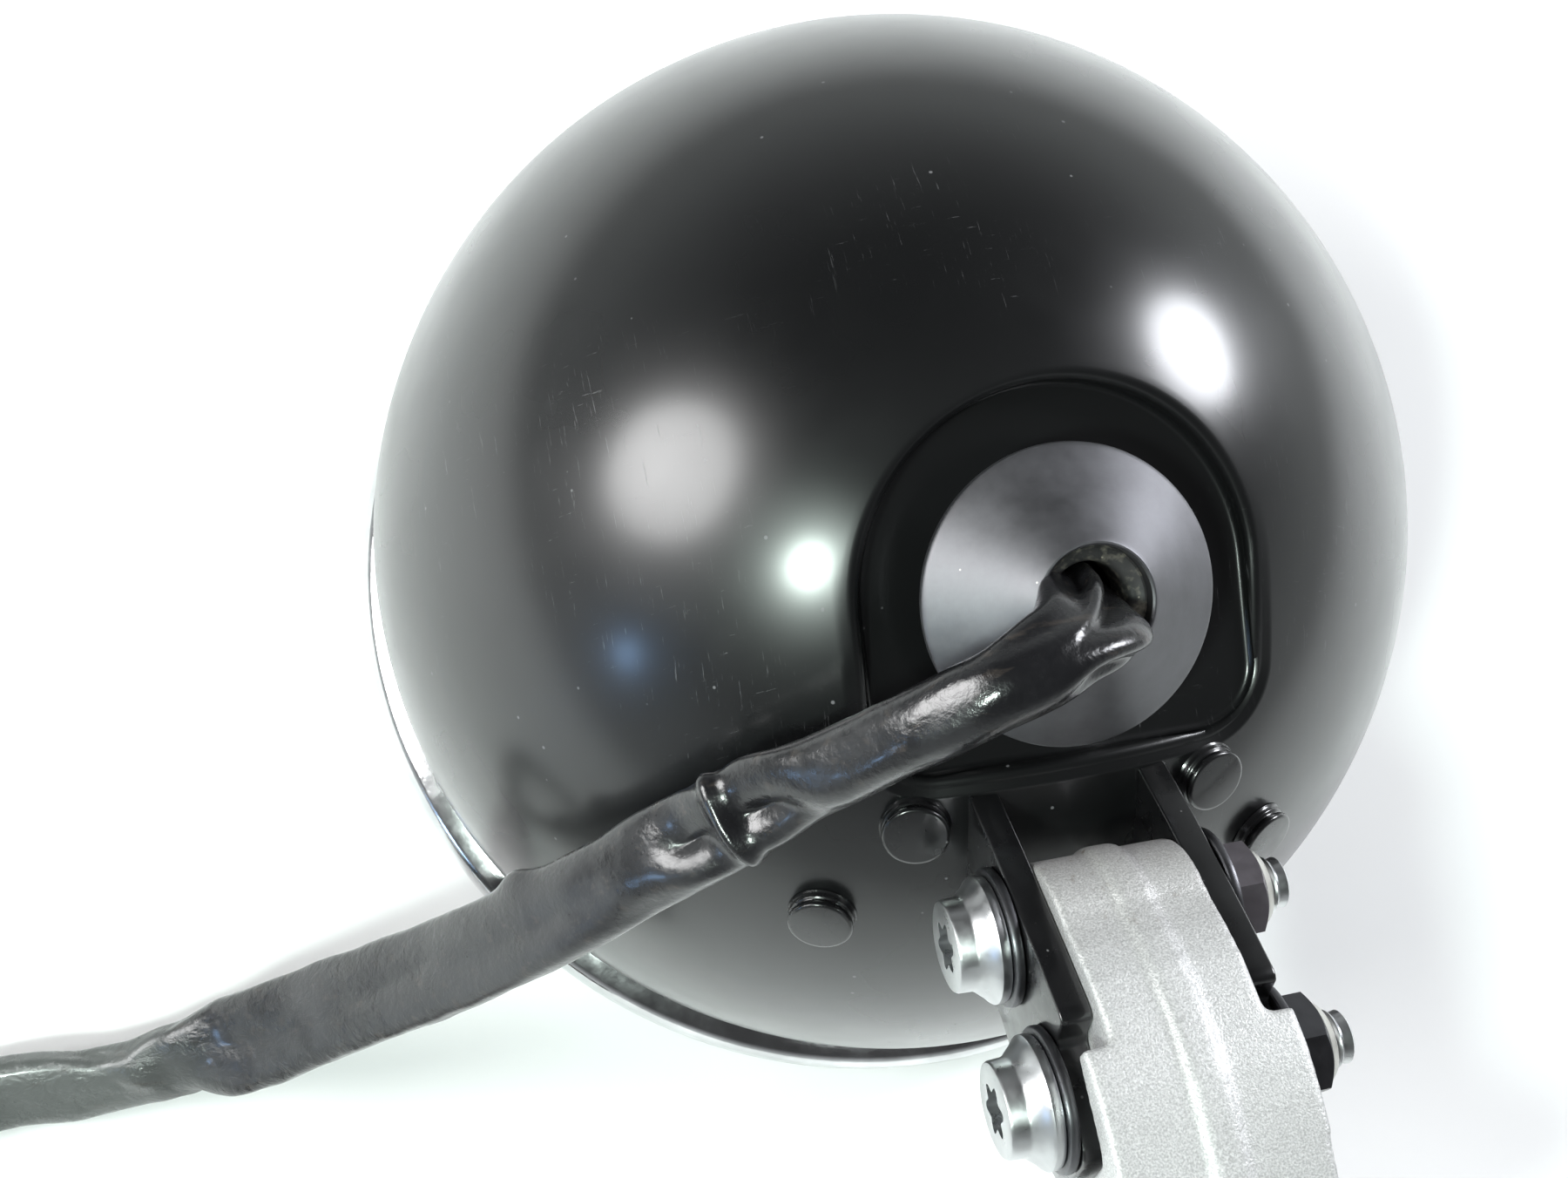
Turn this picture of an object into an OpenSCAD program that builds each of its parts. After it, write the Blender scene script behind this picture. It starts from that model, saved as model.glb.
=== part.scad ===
// Round motorcycle headlamp on a cast mounting arm.
// It stands on its front rim: the origin is the centre of the rim's front plane and +Z points to
// the rear of the lamp. The arm leaves towards -Y and both bolts run along X.

/* [Shell] */
// Greatest outer radius of the domed shell
shell_r = 96; // [93:1:116]
// Wall of the pressed shell
shell_wall = 1.5; // [1:0.25:2.5]
// How far the side arc's centre lies past the axis, which makes the dome a little pointed
side_offset = 6; // [2:1:10]
// How far the crown's centre lies behind the widest plane
crown_rise = 14; // [8:1:20]
// Height of the widest plane over the front rim
dome_h = 38; // [34:1:46]
// Height of the shell's open edge over the front rim
shell_edge_h = 16; // [13:1:20]
// Width of the flange turned in at the open edge
edge_flange_w = 4; // [3:0.5:6]

/* [Cable pocket] */
// Tilt of the pocket and the cable gland towards the arm, in degrees
gland_tilt = 20; // [15:1:24]
// Depth of the pocket under the dome
pocket_depth = 9; // [6:0.5:10]
// Radius of the pocket's round end
pocket_r = 31; // [28:1:34]
// Distance from the gland axis to the pocket's straight edge
pocket_edge = 24.5; // [22:0.5:25]
// Radius of the pocket's two corners
pocket_corner_r = 9; // [6:1:12]

/* [Cable gland] */
// Radius of the conical gland cap
cap_r = 21.3; // [19:0.1:24]
// Height of the cone over the cap's edge
cap_cone_h = 10.2; // [7:0.1:12]
// Thickness of the cap's edge
cap_edge = 1.5; // [1:0.1:2.5]
// Radius of the cap's mouth
cap_mouth_r = 7.9; // [7.2:0.1:9.5]
// Depth of the mouth down to the rubber ring's seat
cap_mouth_depth = 8.6; // [7:0.1:9]
// Radius of the cap's hollow stem
stem_r = 8; // [7.5:0.1:9.5]
// Radius of the hole through the stem
stem_bore_r = 5.8; // [5.6:0.1:6.4]
// Radius of the collar under the cap
collar_r = 15; // [13:0.5:17]
// Height of the collar
collar_h = 9.6; // [8:0.1:11]
// Thickness of the rubber ring in the mouth
grommet_t = 6.2; // [4:0.2:7]
// Hexagon of the stem nut, across flats
stem_nut_af = 22; // [21:1:27]
// Thickness of the stem nut
stem_nut_t = 5; // [4:0.5:7]

/* [Trim ring and lens] */
// How far the trim ring's widest part stands out past the shell's open edge
trim_overhang = 6.4; // [5.5:0.1:8]
// Sheet thickness of the trim ring
trim_t = 1.2; // [1:0.1:1.5]
// Radius of the trim ring's rolled section
trim_roll = 14; // [13:0.5:15]
// Width of the flat land that the lamp stands on
trim_land_w = 2; // [1.5:0.5:3]
// Height of the trim ring's screw over the front rim
trim_screw_h = 12.6; // [12.4:0.1:13.2]
// Thickness of the lens
lens_t = 3; // [2.5:0.5:4]
// Outward bulge of the lens at its middle
lens_bulge = 2; // [1.5:0.25:2.5]
// Distance of the lens edge behind the front rim
lens_inset = 3.2; // [3:0.1:4]

/* [Light unit] */
// Depth of the light unit's bowl
bowl_depth = 50; // [44:1:56]
// Radius of the bowl's rear plate
bowl_back_r = 60; // [56:1:64]
// Wall of the bowl
bowl_wall = 2.5; // [2:0.25:3.5]
// Thickness of the bowl's mounting flange
bowl_flange_t = 3; // [2.5:0.5:4]
// Radius of the projector lens
projector_r = 32; // [28:1:35]
// Distance from the lens edge to the outside of the ring light
ring_light_inset = 13; // [12.5:0.5:16]
// Number of cooling fins
fin_count = 11; // [7:1:13]
// Height of the cooling fins
fin_h = 24; // [16:1:26]
// Thickness of one fin
fin_t = 2; // [1.5:0.25:2.5]
// Width of the square heat sink
sink_w = 78; // [70:1:84]

/* [Bracket] */
// Distance between the two cheeks
cheek_gap = 21.5; // [18:0.5:24]
// Thickness of a cheek
cheek_t = 4.4; // [3:0.1:4.8]
// Distance of the pivot bolt outside the dome
pivot_rise = 14.5; // [14.5:0.5:19]
// Angle of the pivot bolt from the lamp axis, in degrees
pivot_angle = 44.2; // [42:0.2:46]
// Distance between the pivot bolt and the clamp bolt
bolt_pitch = 23.4; // [23:0.2:25]
// Slope of the bolt line against the rim plane, in degrees
arm_slope = 20.3; // [18:0.1:23]
// Half the width of a cheek under its bolts
cheek_half_w = 14; // [13:0.5:16]
// Radius of a cheek's round end, round the clamp bolt
cheek_end_r = 9.8; // [9:0.1:9.8]
// Sideways width of the flange riveted inside the shell
flange_w = 36; // [34:1:40]
// Reach of that flange towards the rim, from the middle of the cheeks
flange_reach = 9; // [7:1:12]
// Thickness of that flange
flange_t = 2.5; // [2:0.25:3]
// Aim adjustment each way, in degrees
aim_range = 4; // [2:0.5:4]

/* [Rivets] */
// Radius of a rivet's head
rivet_head_r = 5; // [4.5:0.1:5.6]
// Height of a rivet's head
rivet_head_h = 2.6; // [1.6:0.1:3]
// Radius of a rivet's shank
rivet_r = 2.2; // [1.8:0.1:2.3]

/* [Bolts] */
// Thread radius of the pivot bolt and the clamp bolt
bolt_r = 4; // [3.5:0.1:4]
// Radius of the bolt flange
bolt_flange_r = 9; // [8.5:0.1:9.6]
// Radius of the bolt head's face
bolt_face_r = 6.5; // [6:0.1:7]
// Height of the bolt head over its washer
bolt_head_h = 6.8; // [6:0.1:9]
// Thickness of a washer
washer_t = 1.6; // [1.2:0.1:2]
// Radius of a washer
washer_r = 9.8; // [9:0.1:10.2]
// Hexagon of a nut, across flats
nut_af = 13; // [12.5:0.1:13.5]
// Height of a nut
nut_h = 6.6; // [6:0.1:8]
// Thread standing out of a nut
thread_out = 3.4; // [2:0.1:4]

/* [Arm] */
// Radius of the arm's round end
arm_end_r = 12.7; // [12:0.1:13.4]
// Distance from the pivot bolt to the centre of that round end
arm_end_u = 3.8; // [2:0.2:5]
// Half the width of the arm's beam outside the cheeks
arm_half_w = 14.5; // [13:0.5:16]
// Distance from the clamp bolt back to the arm's shoulder
shoulder_back = 1.4; // [0.5:0.1:2.4]
// Distance from the pivot bolt to the foot's bolts, along the rim plane
arm_reach = 88; // [84:1:120]
// Height of the foot's machined face over the pivot bolt
foot_rise = 9.5; // [6:0.5:14]
// Thickness of the foot
foot_t = 14; // [12:1:16]
// Distance between the foot's two bolt holes
foot_pitch = 50; // [44:1:60]
// Radius of the foot's bolt holes
foot_hole_r = 4.25; // [3.3:0.05:5.3]
// Radius of the foot's round ends
foot_end_r = 12; // [11:0.5:14]
// Outer radius of a steel bush in the arm
bush_r = 6.2; // [5.8:0.1:6.6]

/* [Sleeve and plug] */
// Radius of the wiring sleeve
sleeve_r = 5.2; // [4.5:0.1:5.3]
// Length, width and height of the plug's body
plug_l = 34; // [30:1:40]
plug_w = 24; // [22:1:30]
plug_h = 18; // [16:1:20]
// Wall of the plug's body
plug_wall = 1.6; // [1.2:0.1:2]
// Depth of the plug's mouth
plug_mouth_l = 14; // [12:1:18]

/* [Hidden] */
$fn = 96;
// Running clearance of a bolt in its bore, gap between sliding faces and gap round a loose part
fit_gap = 0.08;
slide_gap = 0.12;
part_gap = 0.3;
// Small clearance between two pieces that are fastened together
seat_gap = 0.02;
overcut = 1;

// Dome: a side arc, and a crown sphere that meets it without a corner
side_arc_r = shell_r + side_offset;
crown_r = side_arc_r - norm([side_offset, crown_rise]);
crown_angle = atan2(side_offset, crown_rise);
shell_edge_r = sqrt(pow(side_arc_r, 2) - pow(dome_h - shell_edge_h, 2)) - side_offset;
trim_r = shell_edge_r + trim_overhang;

// Distance from the dome's centre to the crown along the gland axis, and the pocket's floor
crown_d = crown_rise * cos(gland_tilt) + crown_r;
floor_d = crown_d - pocket_depth;
cap_d = floor_d + collar_h + seat_gap;
cone_d = cap_d + cap_edge;
mouth_d = cone_d + cap_cone_h;
seat_d = mouth_d - cap_mouth_depth;
stem_end_d = floor_d - shell_wall - stem_nut_t - 3;

// Bracket plane: u runs from the pivot bolt to the clamp bolt, v points away from the dome
side_d = side_arc_r - side_offset * sin(pivot_angle);
pivot_d = side_d + pivot_rise;
pivot_y = -pivot_d * sin(pivot_angle);
pivot_z = dome_h + pivot_d * cos(pivot_angle);
half_gap = cheek_gap / 2;
cheek_out = half_gap + cheek_t;
arm_half_gap = half_gap - slide_gap;
slot_angle = aim_range + 0.6;
slot_r = bolt_r + 0.2;
beam_u = bolt_pitch + cheek_end_r + 1.6;
shoulder_u = bolt_pitch - shoulder_back;
foot_y = arm_reach - pivot_y;
foot_z = pivot_z + foot_rise;
foot_u = arm_reach * cos(arm_slope) + foot_rise * sin(arm_slope);
foot_v = foot_rise * cos(arm_slope) - arm_reach * sin(arm_slope);
notch_u = bolt_pitch - 5.6;
bracket_polar = 50;

// Rivets: azimuth from -Y and angle from the lamp axis
RIVETS = [[20.5, 44], [27, 56]];
flange_in_d = shell_wall + seat_gap;

// Bolts along X
washer_x = cheek_out + slide_gap;
head_x = washer_x + washer_t;
nut_x = head_x;
bolt_end_x = nut_x + nut_h + thread_out;
face_x = head_x + bolt_head_h;

// Trim ring section: an arc from its widest plane down to the land
land_r = trim_r - trim_roll;
trim_top_h = shell_edge_h + 3.5;
trim_in_r = shell_edge_r + part_gap + 0.6;

// Light unit
unit_edge_r = land_r + 1;
lens_r = land_r - trim_land_w - 2;
bowl_front_h = lens_inset + lens_t;
bowl_back_h = bowl_front_h + bowl_depth;
bowl_mouth_r = lens_r - 5;
mount_ring_h = bowl_front_h + bowl_flange_t;
screw_r = (bowl_mouth_r + bowl_wall + unit_edge_r) / 2;
ring_light_r = lens_r - ring_light_inset;

// Sleeve route, from the gland to the plug
ROUTE = [
    [0, -33, 128.5], [0, -36, 136.5], [-0.4, -37.8, 141], [-2.5, -40.5, 146], [-6.5, -43.3, 149.6],
    [-12, -46, 151], [-18.5, -48.4, 149.2], [-27.5, -50.6, 141.5], [-37.5, -52.6, 130.5],
    [-48.5, -55, 118.5], [-60.5, -58.6, 105], [-74, -62.3, 90], [-86, -65, 74],
    [-95, -66.3, 61.5], [-106, -67.8, 48.5], [-118.5, -69.6, 34.5], [-132.5, -71.4, 21.5],
    [-148, -72.6, 11.5], [-164, -72.6, 7], [-180, -71.8, 6], [-196, -74, 6],
    [-210, -83, 6], [-218.5, -98, 6], [-219.5, -115, 6], [-213, -130.5, 6],
    [-200.5, -141, 6.8], [-186, -145, 8.6], [-177, -145.5, 9]
];
plug_at = [-164, -145.5, 0];
plug_mid_h = plug_h / 2;
boot_bore_l = 6;

// ---- placing ----

module at_dome() {
    translate([0, 0, dome_h]) children();
}

// Along the gland axis, with z measured from the dome's centre
module at_gland() {
    at_dome() rotate([gland_tilt, 0, 0]) children();
}

// On the dome's side surface, z along its normal, at azimuth az from -Y and angle polar
module on_side(az, polar) {
    at_dome() rotate([0, 0, az - 90]) translate([-side_offset, 0, 0])
        rotate([0, polar, 0]) translate([0, 0, side_arc_r]) children();
}

// The bracket plane stood up at the pivot bolt: x is u, y is v, z is across, towards +X
module at_pivot() {
    translate([0, pivot_y, pivot_z]) rotate([-arm_slope, 0, 0]) rotate([90, 0, -90])
        mirror([0, 0, 1]) children();
}

// A plate in the bracket plane, from x0 to x1
module plate(x0, x1) {
    at_pivot() translate([0, 0, x0]) linear_extrude(x1 - x0) children();
}

module at_rivets(side) {
    for (spot = RIVETS) on_side(side * spot[0], spot[1]) children();
}

// A ring section turned round the current z axis
module ring(r_in, r_out, h0, h1) {
    rotate_extrude() translate([r_in, h0]) square([r_out - r_in, h1 - h0]);
}

module hexagon(across_flats, h) {
    cylinder(r = across_flats / (2 * cos(30)), h = h, $fn = 6);
}

// ---- shell ----

// The dome as a solid, moved in by a wall, from bottom_h below its widest plane
module dome_solid(inset, bottom_h) {
    join_h = (side_arc_r - inset) * cos(crown_angle);
    rotate_extrude() {
        intersection() {
            translate([-side_offset, 0]) circle(r = side_arc_r - inset, $fn = 180);
            translate([0, -bottom_h]) square([shell_r * 2, bottom_h + join_h]);
        }
        intersection() {
            translate([0, crown_rise]) circle(r = crown_r - inset, $fn = 180);
            translate([0, join_h]) square([shell_r, shell_r]);
        }
    }
}

// Outline of the pocket: round towards the crown, straight towards the arm
module pocket_outline(grow) {
    corner_x = pocket_r - pocket_corner_r;
    corner_y = pocket_edge - pocket_corner_r;
    intersection() {
        circle(r = pocket_r + grow);
        translate([-pocket_r - grow, 0]) square([2 * (pocket_r + grow), pocket_r + grow]);
    }
    translate([-pocket_r - grow, -corner_y]) square([2 * (pocket_r + grow), corner_y + overcut]);
    translate([-corner_x, -pocket_edge - grow]) square([2 * corner_x, pocket_edge]);
    for (s = [-1, 1]) translate([s * corner_x, -corner_y]) circle(r = pocket_corner_r + grow);
}

module shell() {
    edge_drop = dome_h - shell_edge_h;
    color("#0b0b0c") difference() {
        at_dome() dome_solid(0, edge_drop);
        difference() {
            at_dome() dome_solid(shell_wall, edge_drop - shell_wall);
            at_gland() translate([0, 0, floor_d - shell_wall])
                linear_extrude(shell_r) pocket_outline(shell_wall);
        }
        at_gland() translate([0, 0, floor_d]) linear_extrude(shell_r) pocket_outline(0);
        translate([0, 0, shell_edge_h - overcut])
            cylinder(r = shell_edge_r - edge_flange_w, h = shell_wall + 2 * overcut);
        at_gland() cylinder(r = stem_r + part_gap, h = shell_r * 2);
        for (s = [-1, 1]) at_rivets(s)
            translate([0, 0, -shell_wall * 3]) cylinder(r = rivet_r + seat_gap, h = shell_wall * 5);
        for (x = [-cheek_out, half_gap]) plate(x - part_gap, x + cheek_t + part_gap)
            cheek_root(part_gap);
    }
}

// ---- bracket ----

// The stretch of a cheek that passes through the shell
module cheek_root(grow) {
    polygon([
        [-40, 3.2 + grow], [-24, 3.2 + grow], [-17.4, 5.1 + grow], [-8, 7.4 + grow],
        [6 + 2 * grow, -cheek_half_w],
        [-2 + grow, -cheek_half_w - 8 - 2 * grow], [-40, -cheek_half_w - 22 - grow]
    ]);
}

module cheek_outline() {
    intersection() {
        cheek_root(0);
        translate([-40, -60]) square([40, 80]);
    }
    polygon([
        [-24, 3.2], [-17.4, 5.1], [-0.5, 9.5], [notch_u - 1.5, 13], [notch_u, 12.4],
        [notch_u + 0.6, 8], [notch_u + 2.6, 7.2], [bolt_pitch + 10, 4],
        [bolt_pitch + 10, -cheek_half_w + 4],
        [bolt_pitch + 4, -cheek_half_w], [6, -cheek_half_w], [-2, -cheek_half_w - 8], [-24, -30]
    ]);
    translate([bolt_pitch, 0]) circle(r = cheek_end_r);
}

// Slot of the clamp bolt, across the reach of the cheek
module clamp_slot() {
    half_w = slot_r - 0.05;
    half_l = bolt_pitch * sin(slot_angle);
    for (s = [-1, 1]) rotate(s * slot_angle) translate([bolt_pitch, 0]) circle(r = slot_r);
    translate([bolt_pitch * (1 + cos(slot_angle)) / 2 - half_w, -half_l]) square([2 * half_w, 2 * half_l]);
}

// Cheek with the curved flange that is riveted inside the shell; side is -1 or 1
module bracket(side) {
    x0 = side < 0 ? -cheek_out : half_gap;
    flange_x0 = side < 0 ? -half_gap - flange_w : half_gap;
    flange_top = pocket_edge + shell_wall + part_gap;
    color("#101011") difference() {
        union() {
            plate(x0, x0 + cheek_t) cheek_outline();
            intersection() {
                at_dome() dome_solid(flange_in_d, 0);
                at_gland() translate([flange_x0, -shell_r - flange_top, 0])
                    cube([flange_w, shell_r, shell_r * 2]);
                at_dome() rotate([bracket_polar, 0, 0])
                    translate([flange_x0, -flange_reach, 0]) cube([flange_w, shell_r, shell_r * 2]);
            }
        }
        at_dome() dome_solid(flange_in_d + flange_t, shell_edge_h);
        at_pivot() translate([0, 0, -shell_r]) cylinder(r = bolt_r + fit_gap, h = 2 * shell_r);
        plate(-shell_r, shell_r) clamp_slot();
        at_rivets(side) translate([0, 0, -shell_wall * 6])
            cylinder(r = rivet_r + seat_gap, h = shell_wall * 8);
    }
}

module rivets() {
    grip = flange_in_d + flange_t + part_gap;
    color("#141415") for (s = [-1, 1]) at_rivets(s) {
        cylinder(r = rivet_head_r, h = rivet_head_h);
        translate([0, 0, -grip]) cylinder(r = rivet_r, h = grip + rivet_head_h / 2);
        translate([0, 0, -grip - rivet_head_h]) cylinder(r = rivet_r * 1.5, h = rivet_head_h);
    }
}

// ---- cable gland ----

module gland_collar() {
    color("#161616") at_gland() ring(stem_r + seat_gap, collar_r, floor_d + seat_gap, cap_d - seat_gap);
}

module gland_cap() {
    color("#8d9094") at_gland() rotate_extrude() polygon([
        [stem_bore_r, stem_end_d], [stem_r, stem_end_d], [stem_r, cap_d], [cap_r, cap_d],
        [cap_r, cone_d], [cap_mouth_r + 0.4, mouth_d], [cap_mouth_r, mouth_d],
        [cap_mouth_r, seat_d], [stem_bore_r, seat_d]
    ]);
}

module gland_nut() {
    top_d = floor_d - shell_wall - seat_gap;
    color("#a9abae") at_gland() translate([0, 0, top_d - stem_nut_t]) difference() {
        hexagon(stem_nut_af, stem_nut_t);
        translate([0, 0, -overcut]) cylinder(r = stem_r + seat_gap, h = stem_nut_t + 2 * overcut);
    }
}

module gland_grommet() {
    color("#232323") at_gland()
        ring(sleeve_r + part_gap, cap_mouth_r - seat_gap, seat_d + seat_gap, seat_d + grommet_t);
}

// ---- front ----

// Points of the trim ring's rolled section at an inset, from its widest plane to the land
function roll_arc(inset) = [
    for (a = [0 : 10 : 90]) [
        land_r + (trim_roll - inset) * cos(a),
        trim_roll - (trim_roll - inset) * sin(a)
    ]
];

module trim_ring() {
    color("#d8dadc") difference() {
        rotate_extrude() polygon(concat(
            [[trim_in_r, trim_top_h], [trim_r - 1.2, trim_top_h - 1.6]],
            roll_arc(0),
            [[land_r - trim_land_w, 0], [land_r - trim_land_w, trim_t]],
            [for (i = [9 : -1 : 0]) roll_arc(trim_t)[i]],
            [[trim_r - 1.2 - trim_t, trim_top_h - 1.6 - trim_t], [trim_in_r, trim_top_h - trim_t]]
        ));
        translate([0, 0, trim_screw_h]) rotate([-90, 0, 0]) rotate([0, 0, 30])
            cylinder(r = 2 + seat_gap, h = trim_r * 2);
    }
}

module trim_screw() {
    color("#b7babd") translate([0, 0, trim_screw_h]) rotate([-90, 0, 0]) {
        translate([0, 0, unit_edge_r + 3.5]) cylinder(r = 2, h = trim_r - unit_edge_r - 3);
        difference() {
            translate([0, 0, trim_r + seat_gap]) cylinder(r = 3.6, h = 2.2);
            translate([-3, -0.5, trim_r + 1.2]) cube([6, 1, 3]);
            translate([-0.5, -3, trim_r + 1.2]) cube([1, 6, 3]);
        }
    }
}

module trim_gasket() {
    color("#1b1b1b")
        ring(lens_r + 2.2, land_r + 0.6, trim_t + seat_gap, bowl_front_h);
}

// Half of a shallow lens section, whose sphere bulges by lens_bulge over the lens radius
module lens_section(edge_r, front_h) {
    bulge_r = (pow(lens_r, 2) + pow(lens_bulge, 2)) / (2 * lens_bulge);
    intersection() {
        translate([0, front_h - lens_bulge + bulge_r]) circle(r = bulge_r, $fn = 1800);
        translate([0, -lens_r]) square([edge_r, lens_r + lens_inset + lens_t]);
    }
}

module lens() {
    color("#e8eef2", 0.4) rotate_extrude() difference() {
        lens_section(lens_r, lens_inset);
        lens_section(lens_r - 4, lens_inset + lens_t);
    }
}

module mount_ring() {
    z0 = mount_ring_h + seat_gap;
    color("#3a3c3f") difference() {
        union() {
            ring(bowl_mouth_r + bowl_wall + part_gap, unit_edge_r + 4.6, z0, z0 + 2);
            ring(unit_edge_r + 2.6, unit_edge_r + 4.6, z0, shell_edge_h - seat_gap);
        }
        unit_screw_spots() translate([0, 0, z0 - overcut]) cylinder(r = 2 + seat_gap, h = 6);
        translate([0, 0, trim_screw_h]) rotate([-90, 0, 0]) cylinder(r = 2 + seat_gap, h = trim_r);
    }
}

module unit_screw_spots() {
    for (a = [90, 210, 330]) rotate([0, 0, a]) translate([screw_r, 0, 0]) children();
}

module unit_screws() {
    head_h = mount_ring_h + 2 + 2 * seat_gap;
    color("#b7babd") unit_screw_spots() {
        translate([0, 0, bowl_front_h + 0.6]) cylinder(r = 2, h = head_h - bowl_front_h);
        difference() {
            translate([0, 0, head_h]) cylinder(r = 3.4, h = 2.4);
            translate([-3, -0.5, head_h + 1.2]) cube([6, 1, 3]);
            translate([-0.5, -3, head_h + 1.2]) cube([1, 6, 3]);
        }
    }
}

module lamp_bowl() {
    z0 = bowl_front_h + seat_gap;
    color("#1a1b1d") difference() {
        rotate_extrude() polygon([
            [lens_r + 0.2, z0 - lens_t], [lens_r + 1.8, z0 - lens_t], [lens_r + 1.8, z0],
            [unit_edge_r, z0], [unit_edge_r, mount_ring_h], [bowl_mouth_r + bowl_wall, mount_ring_h],
            [bowl_back_r, bowl_back_h], [0, bowl_back_h], [0, bowl_back_h - bowl_wall],
            [bowl_back_r - bowl_wall, bowl_back_h - bowl_wall], [bowl_mouth_r, z0],
            [lens_r + 0.2, z0]
        ]);
        unit_screw_spots() translate([0, 0, bowl_front_h + 0.5]) cylinder(r = 2 + seat_gap, h = 8);
    }
}

module bezel() {
    z0 = bowl_front_h + 5;
    color("#c9ccd0") rotate_extrude() polygon([
        [projector_r + 3, z0 + 24], [ring_light_r - 6, z0 + 6], [ring_light_r - 4, z0 + 6],
        [ring_light_r - 4, z0 + 8], [projector_r + 3, z0 + 26]
    ]);
}

module ring_light() {
    color("#f4f6f8") translate([0, 0, bowl_front_h + 6])
        rotate_extrude() translate([ring_light_r - 0.6, 3]) circle(r = 2.8);
}

module projector_lens() {
    color("#dfe8ee", 0.6) translate([0, 0, bowl_front_h + 14]) intersection() {
        translate([0, 0, projector_r * 1.1]) sphere(r = projector_r * 1.25);
        translate([0, 0, -projector_r]) cylinder(r = projector_r, h = projector_r + 6);
    }
}

module projector_barrel() {
    z0 = bowl_front_h + 20 + seat_gap;
    color("#26282b") ring(projector_r - 3, projector_r, z0, bowl_back_h - bowl_wall - seat_gap);
}

module led_board() {
    z1 = bowl_back_h - bowl_wall - seat_gap;
    color("#1f5c3a") translate([0, 0, z1 - 1.6]) cylinder(r = projector_r - 3.6, h = 1.6);
}

module led_chips() {
    z1 = bowl_back_h - bowl_wall - 2 * seat_gap - 1.6;
    color("#f2dd6b") for (x = [-9, -3, 3, 9], y = [-5, 5])
        translate([x - 1.7, y - 1.7, z1 - 1.2]) cube([3.4, 3.4, 1.2]);
}

module heat_sink() {
    z0 = bowl_back_h + seat_gap;
    fin_step = (sink_w - fin_t) / (fin_count - 1);
    color("#3f4246") {
        translate([-sink_w / 2, -sink_w / 2 + 8, z0]) cube([sink_w, sink_w, 5]);
        for (i = [0 : fin_count - 1])
            translate([-sink_w / 2 + i * fin_step, -sink_w / 2 + 8, z0 + 4.5]) cube([fin_t, sink_w, fin_h]);
    }
}

module driver_box() {
    color("#202124") translate([-20, -sink_w / 2 - 12, bowl_back_h + seat_gap]) cube([40, 18, 14]);
}

// ---- arm ----

// Side outline of the arm in the bracket plane, between the round end and the foot
module arm_side() {
    translate([arm_end_u, 0]) circle(r = arm_end_r);
    polygon([
        [arm_end_u, arm_end_r], [shoulder_u - 13, 14.3], [shoulder_u - 8, 15.5],
        [shoulder_u, 15.9], [shoulder_u + 7, 15.4], [shoulder_u + 15, 13.1],
        [shoulder_u + 24, 9.4], [shoulder_u + 32, 4.5], [foot_u - 20, foot_v + 15.6],
        [foot_u - 11.3, foot_v + 4.2], [foot_u - 2, foot_v - 1], [foot_u - 6, foot_v - foot_t + 1],
        [foot_u - 20, foot_v - foot_t + 6.4], [shoulder_u + 14, -14], [shoulder_u, -arm_end_r],
        [arm_end_u, -arm_end_r]
    ]);
}

// Outline across the arm: narrow between the cheeks, wide past them, flared to the foot
module arm_plan() {
    half = [
        [-arm_end_r - 2, arm_half_gap], [beam_u, arm_half_gap], [beam_u, arm_half_w],
        [52, arm_half_w - 1], [foot_u - 24, arm_half_w + 1], [foot_u - 8, foot_pitch / 2],
        [foot_u + 4, foot_pitch / 2]
    ];
    polygon(concat(half, [for (i = [len(half) - 1 : -1 : 0]) [half[i][0], -half[i][1]]]));
}

module arm() {
    color("#c4c6c8") difference() {
        union() {
            intersection() {
                plate(-60, 60) arm_side();
                at_pivot() rotate([90, 0, 0]) translate([0, 0, -80])
                    linear_extrude(160) arm_plan();
            }
            plate(-arm_half_w, arm_half_w) shoulder_outline();
            foot_solid();
        }
        for (u = [0, bolt_pitch]) at_pivot() translate([u, 0, -60])
            cylinder(r = bush_r + seat_gap, h = 120);
        for (s = [-1, 1]) translate([s * foot_pitch / 2, -foot_y, foot_z - foot_t - 40])
            cylinder(r = foot_hole_r, h = 80);
    }
}

// The shoulder that overlaps the cheeks' rear edges past their notch
module shoulder_outline() {
    polygon([
        [shoulder_u, 12.6], [shoulder_u + 0.5, 15.8], [shoulder_u + 7, 15.4],
        [shoulder_u + 15, 13.1], [beam_u + 3, 12.6], [beam_u + 3, -13.8], [beam_u, -14],
        [beam_u, 8], [beam_u - 2, 9.4]
    ]);
}

module foot_solid() {
    translate([0, -foot_y, foot_z - foot_t]) {
        for (s = [-1, 1]) translate([s * foot_pitch / 2, 0, 0]) cylinder(r = foot_end_r, h = foot_t);
        translate([-foot_pitch / 2, -foot_end_r, 0]) cube([foot_pitch, 2 * foot_end_r, foot_t]);
    }
}

module bush(u) {
    color("#9fa2a5") at_pivot() translate([u, 0, 0])
        ring(bolt_r + seat_gap, bush_r, -arm_half_gap, arm_half_gap);
}

// ---- bolts ----

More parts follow.
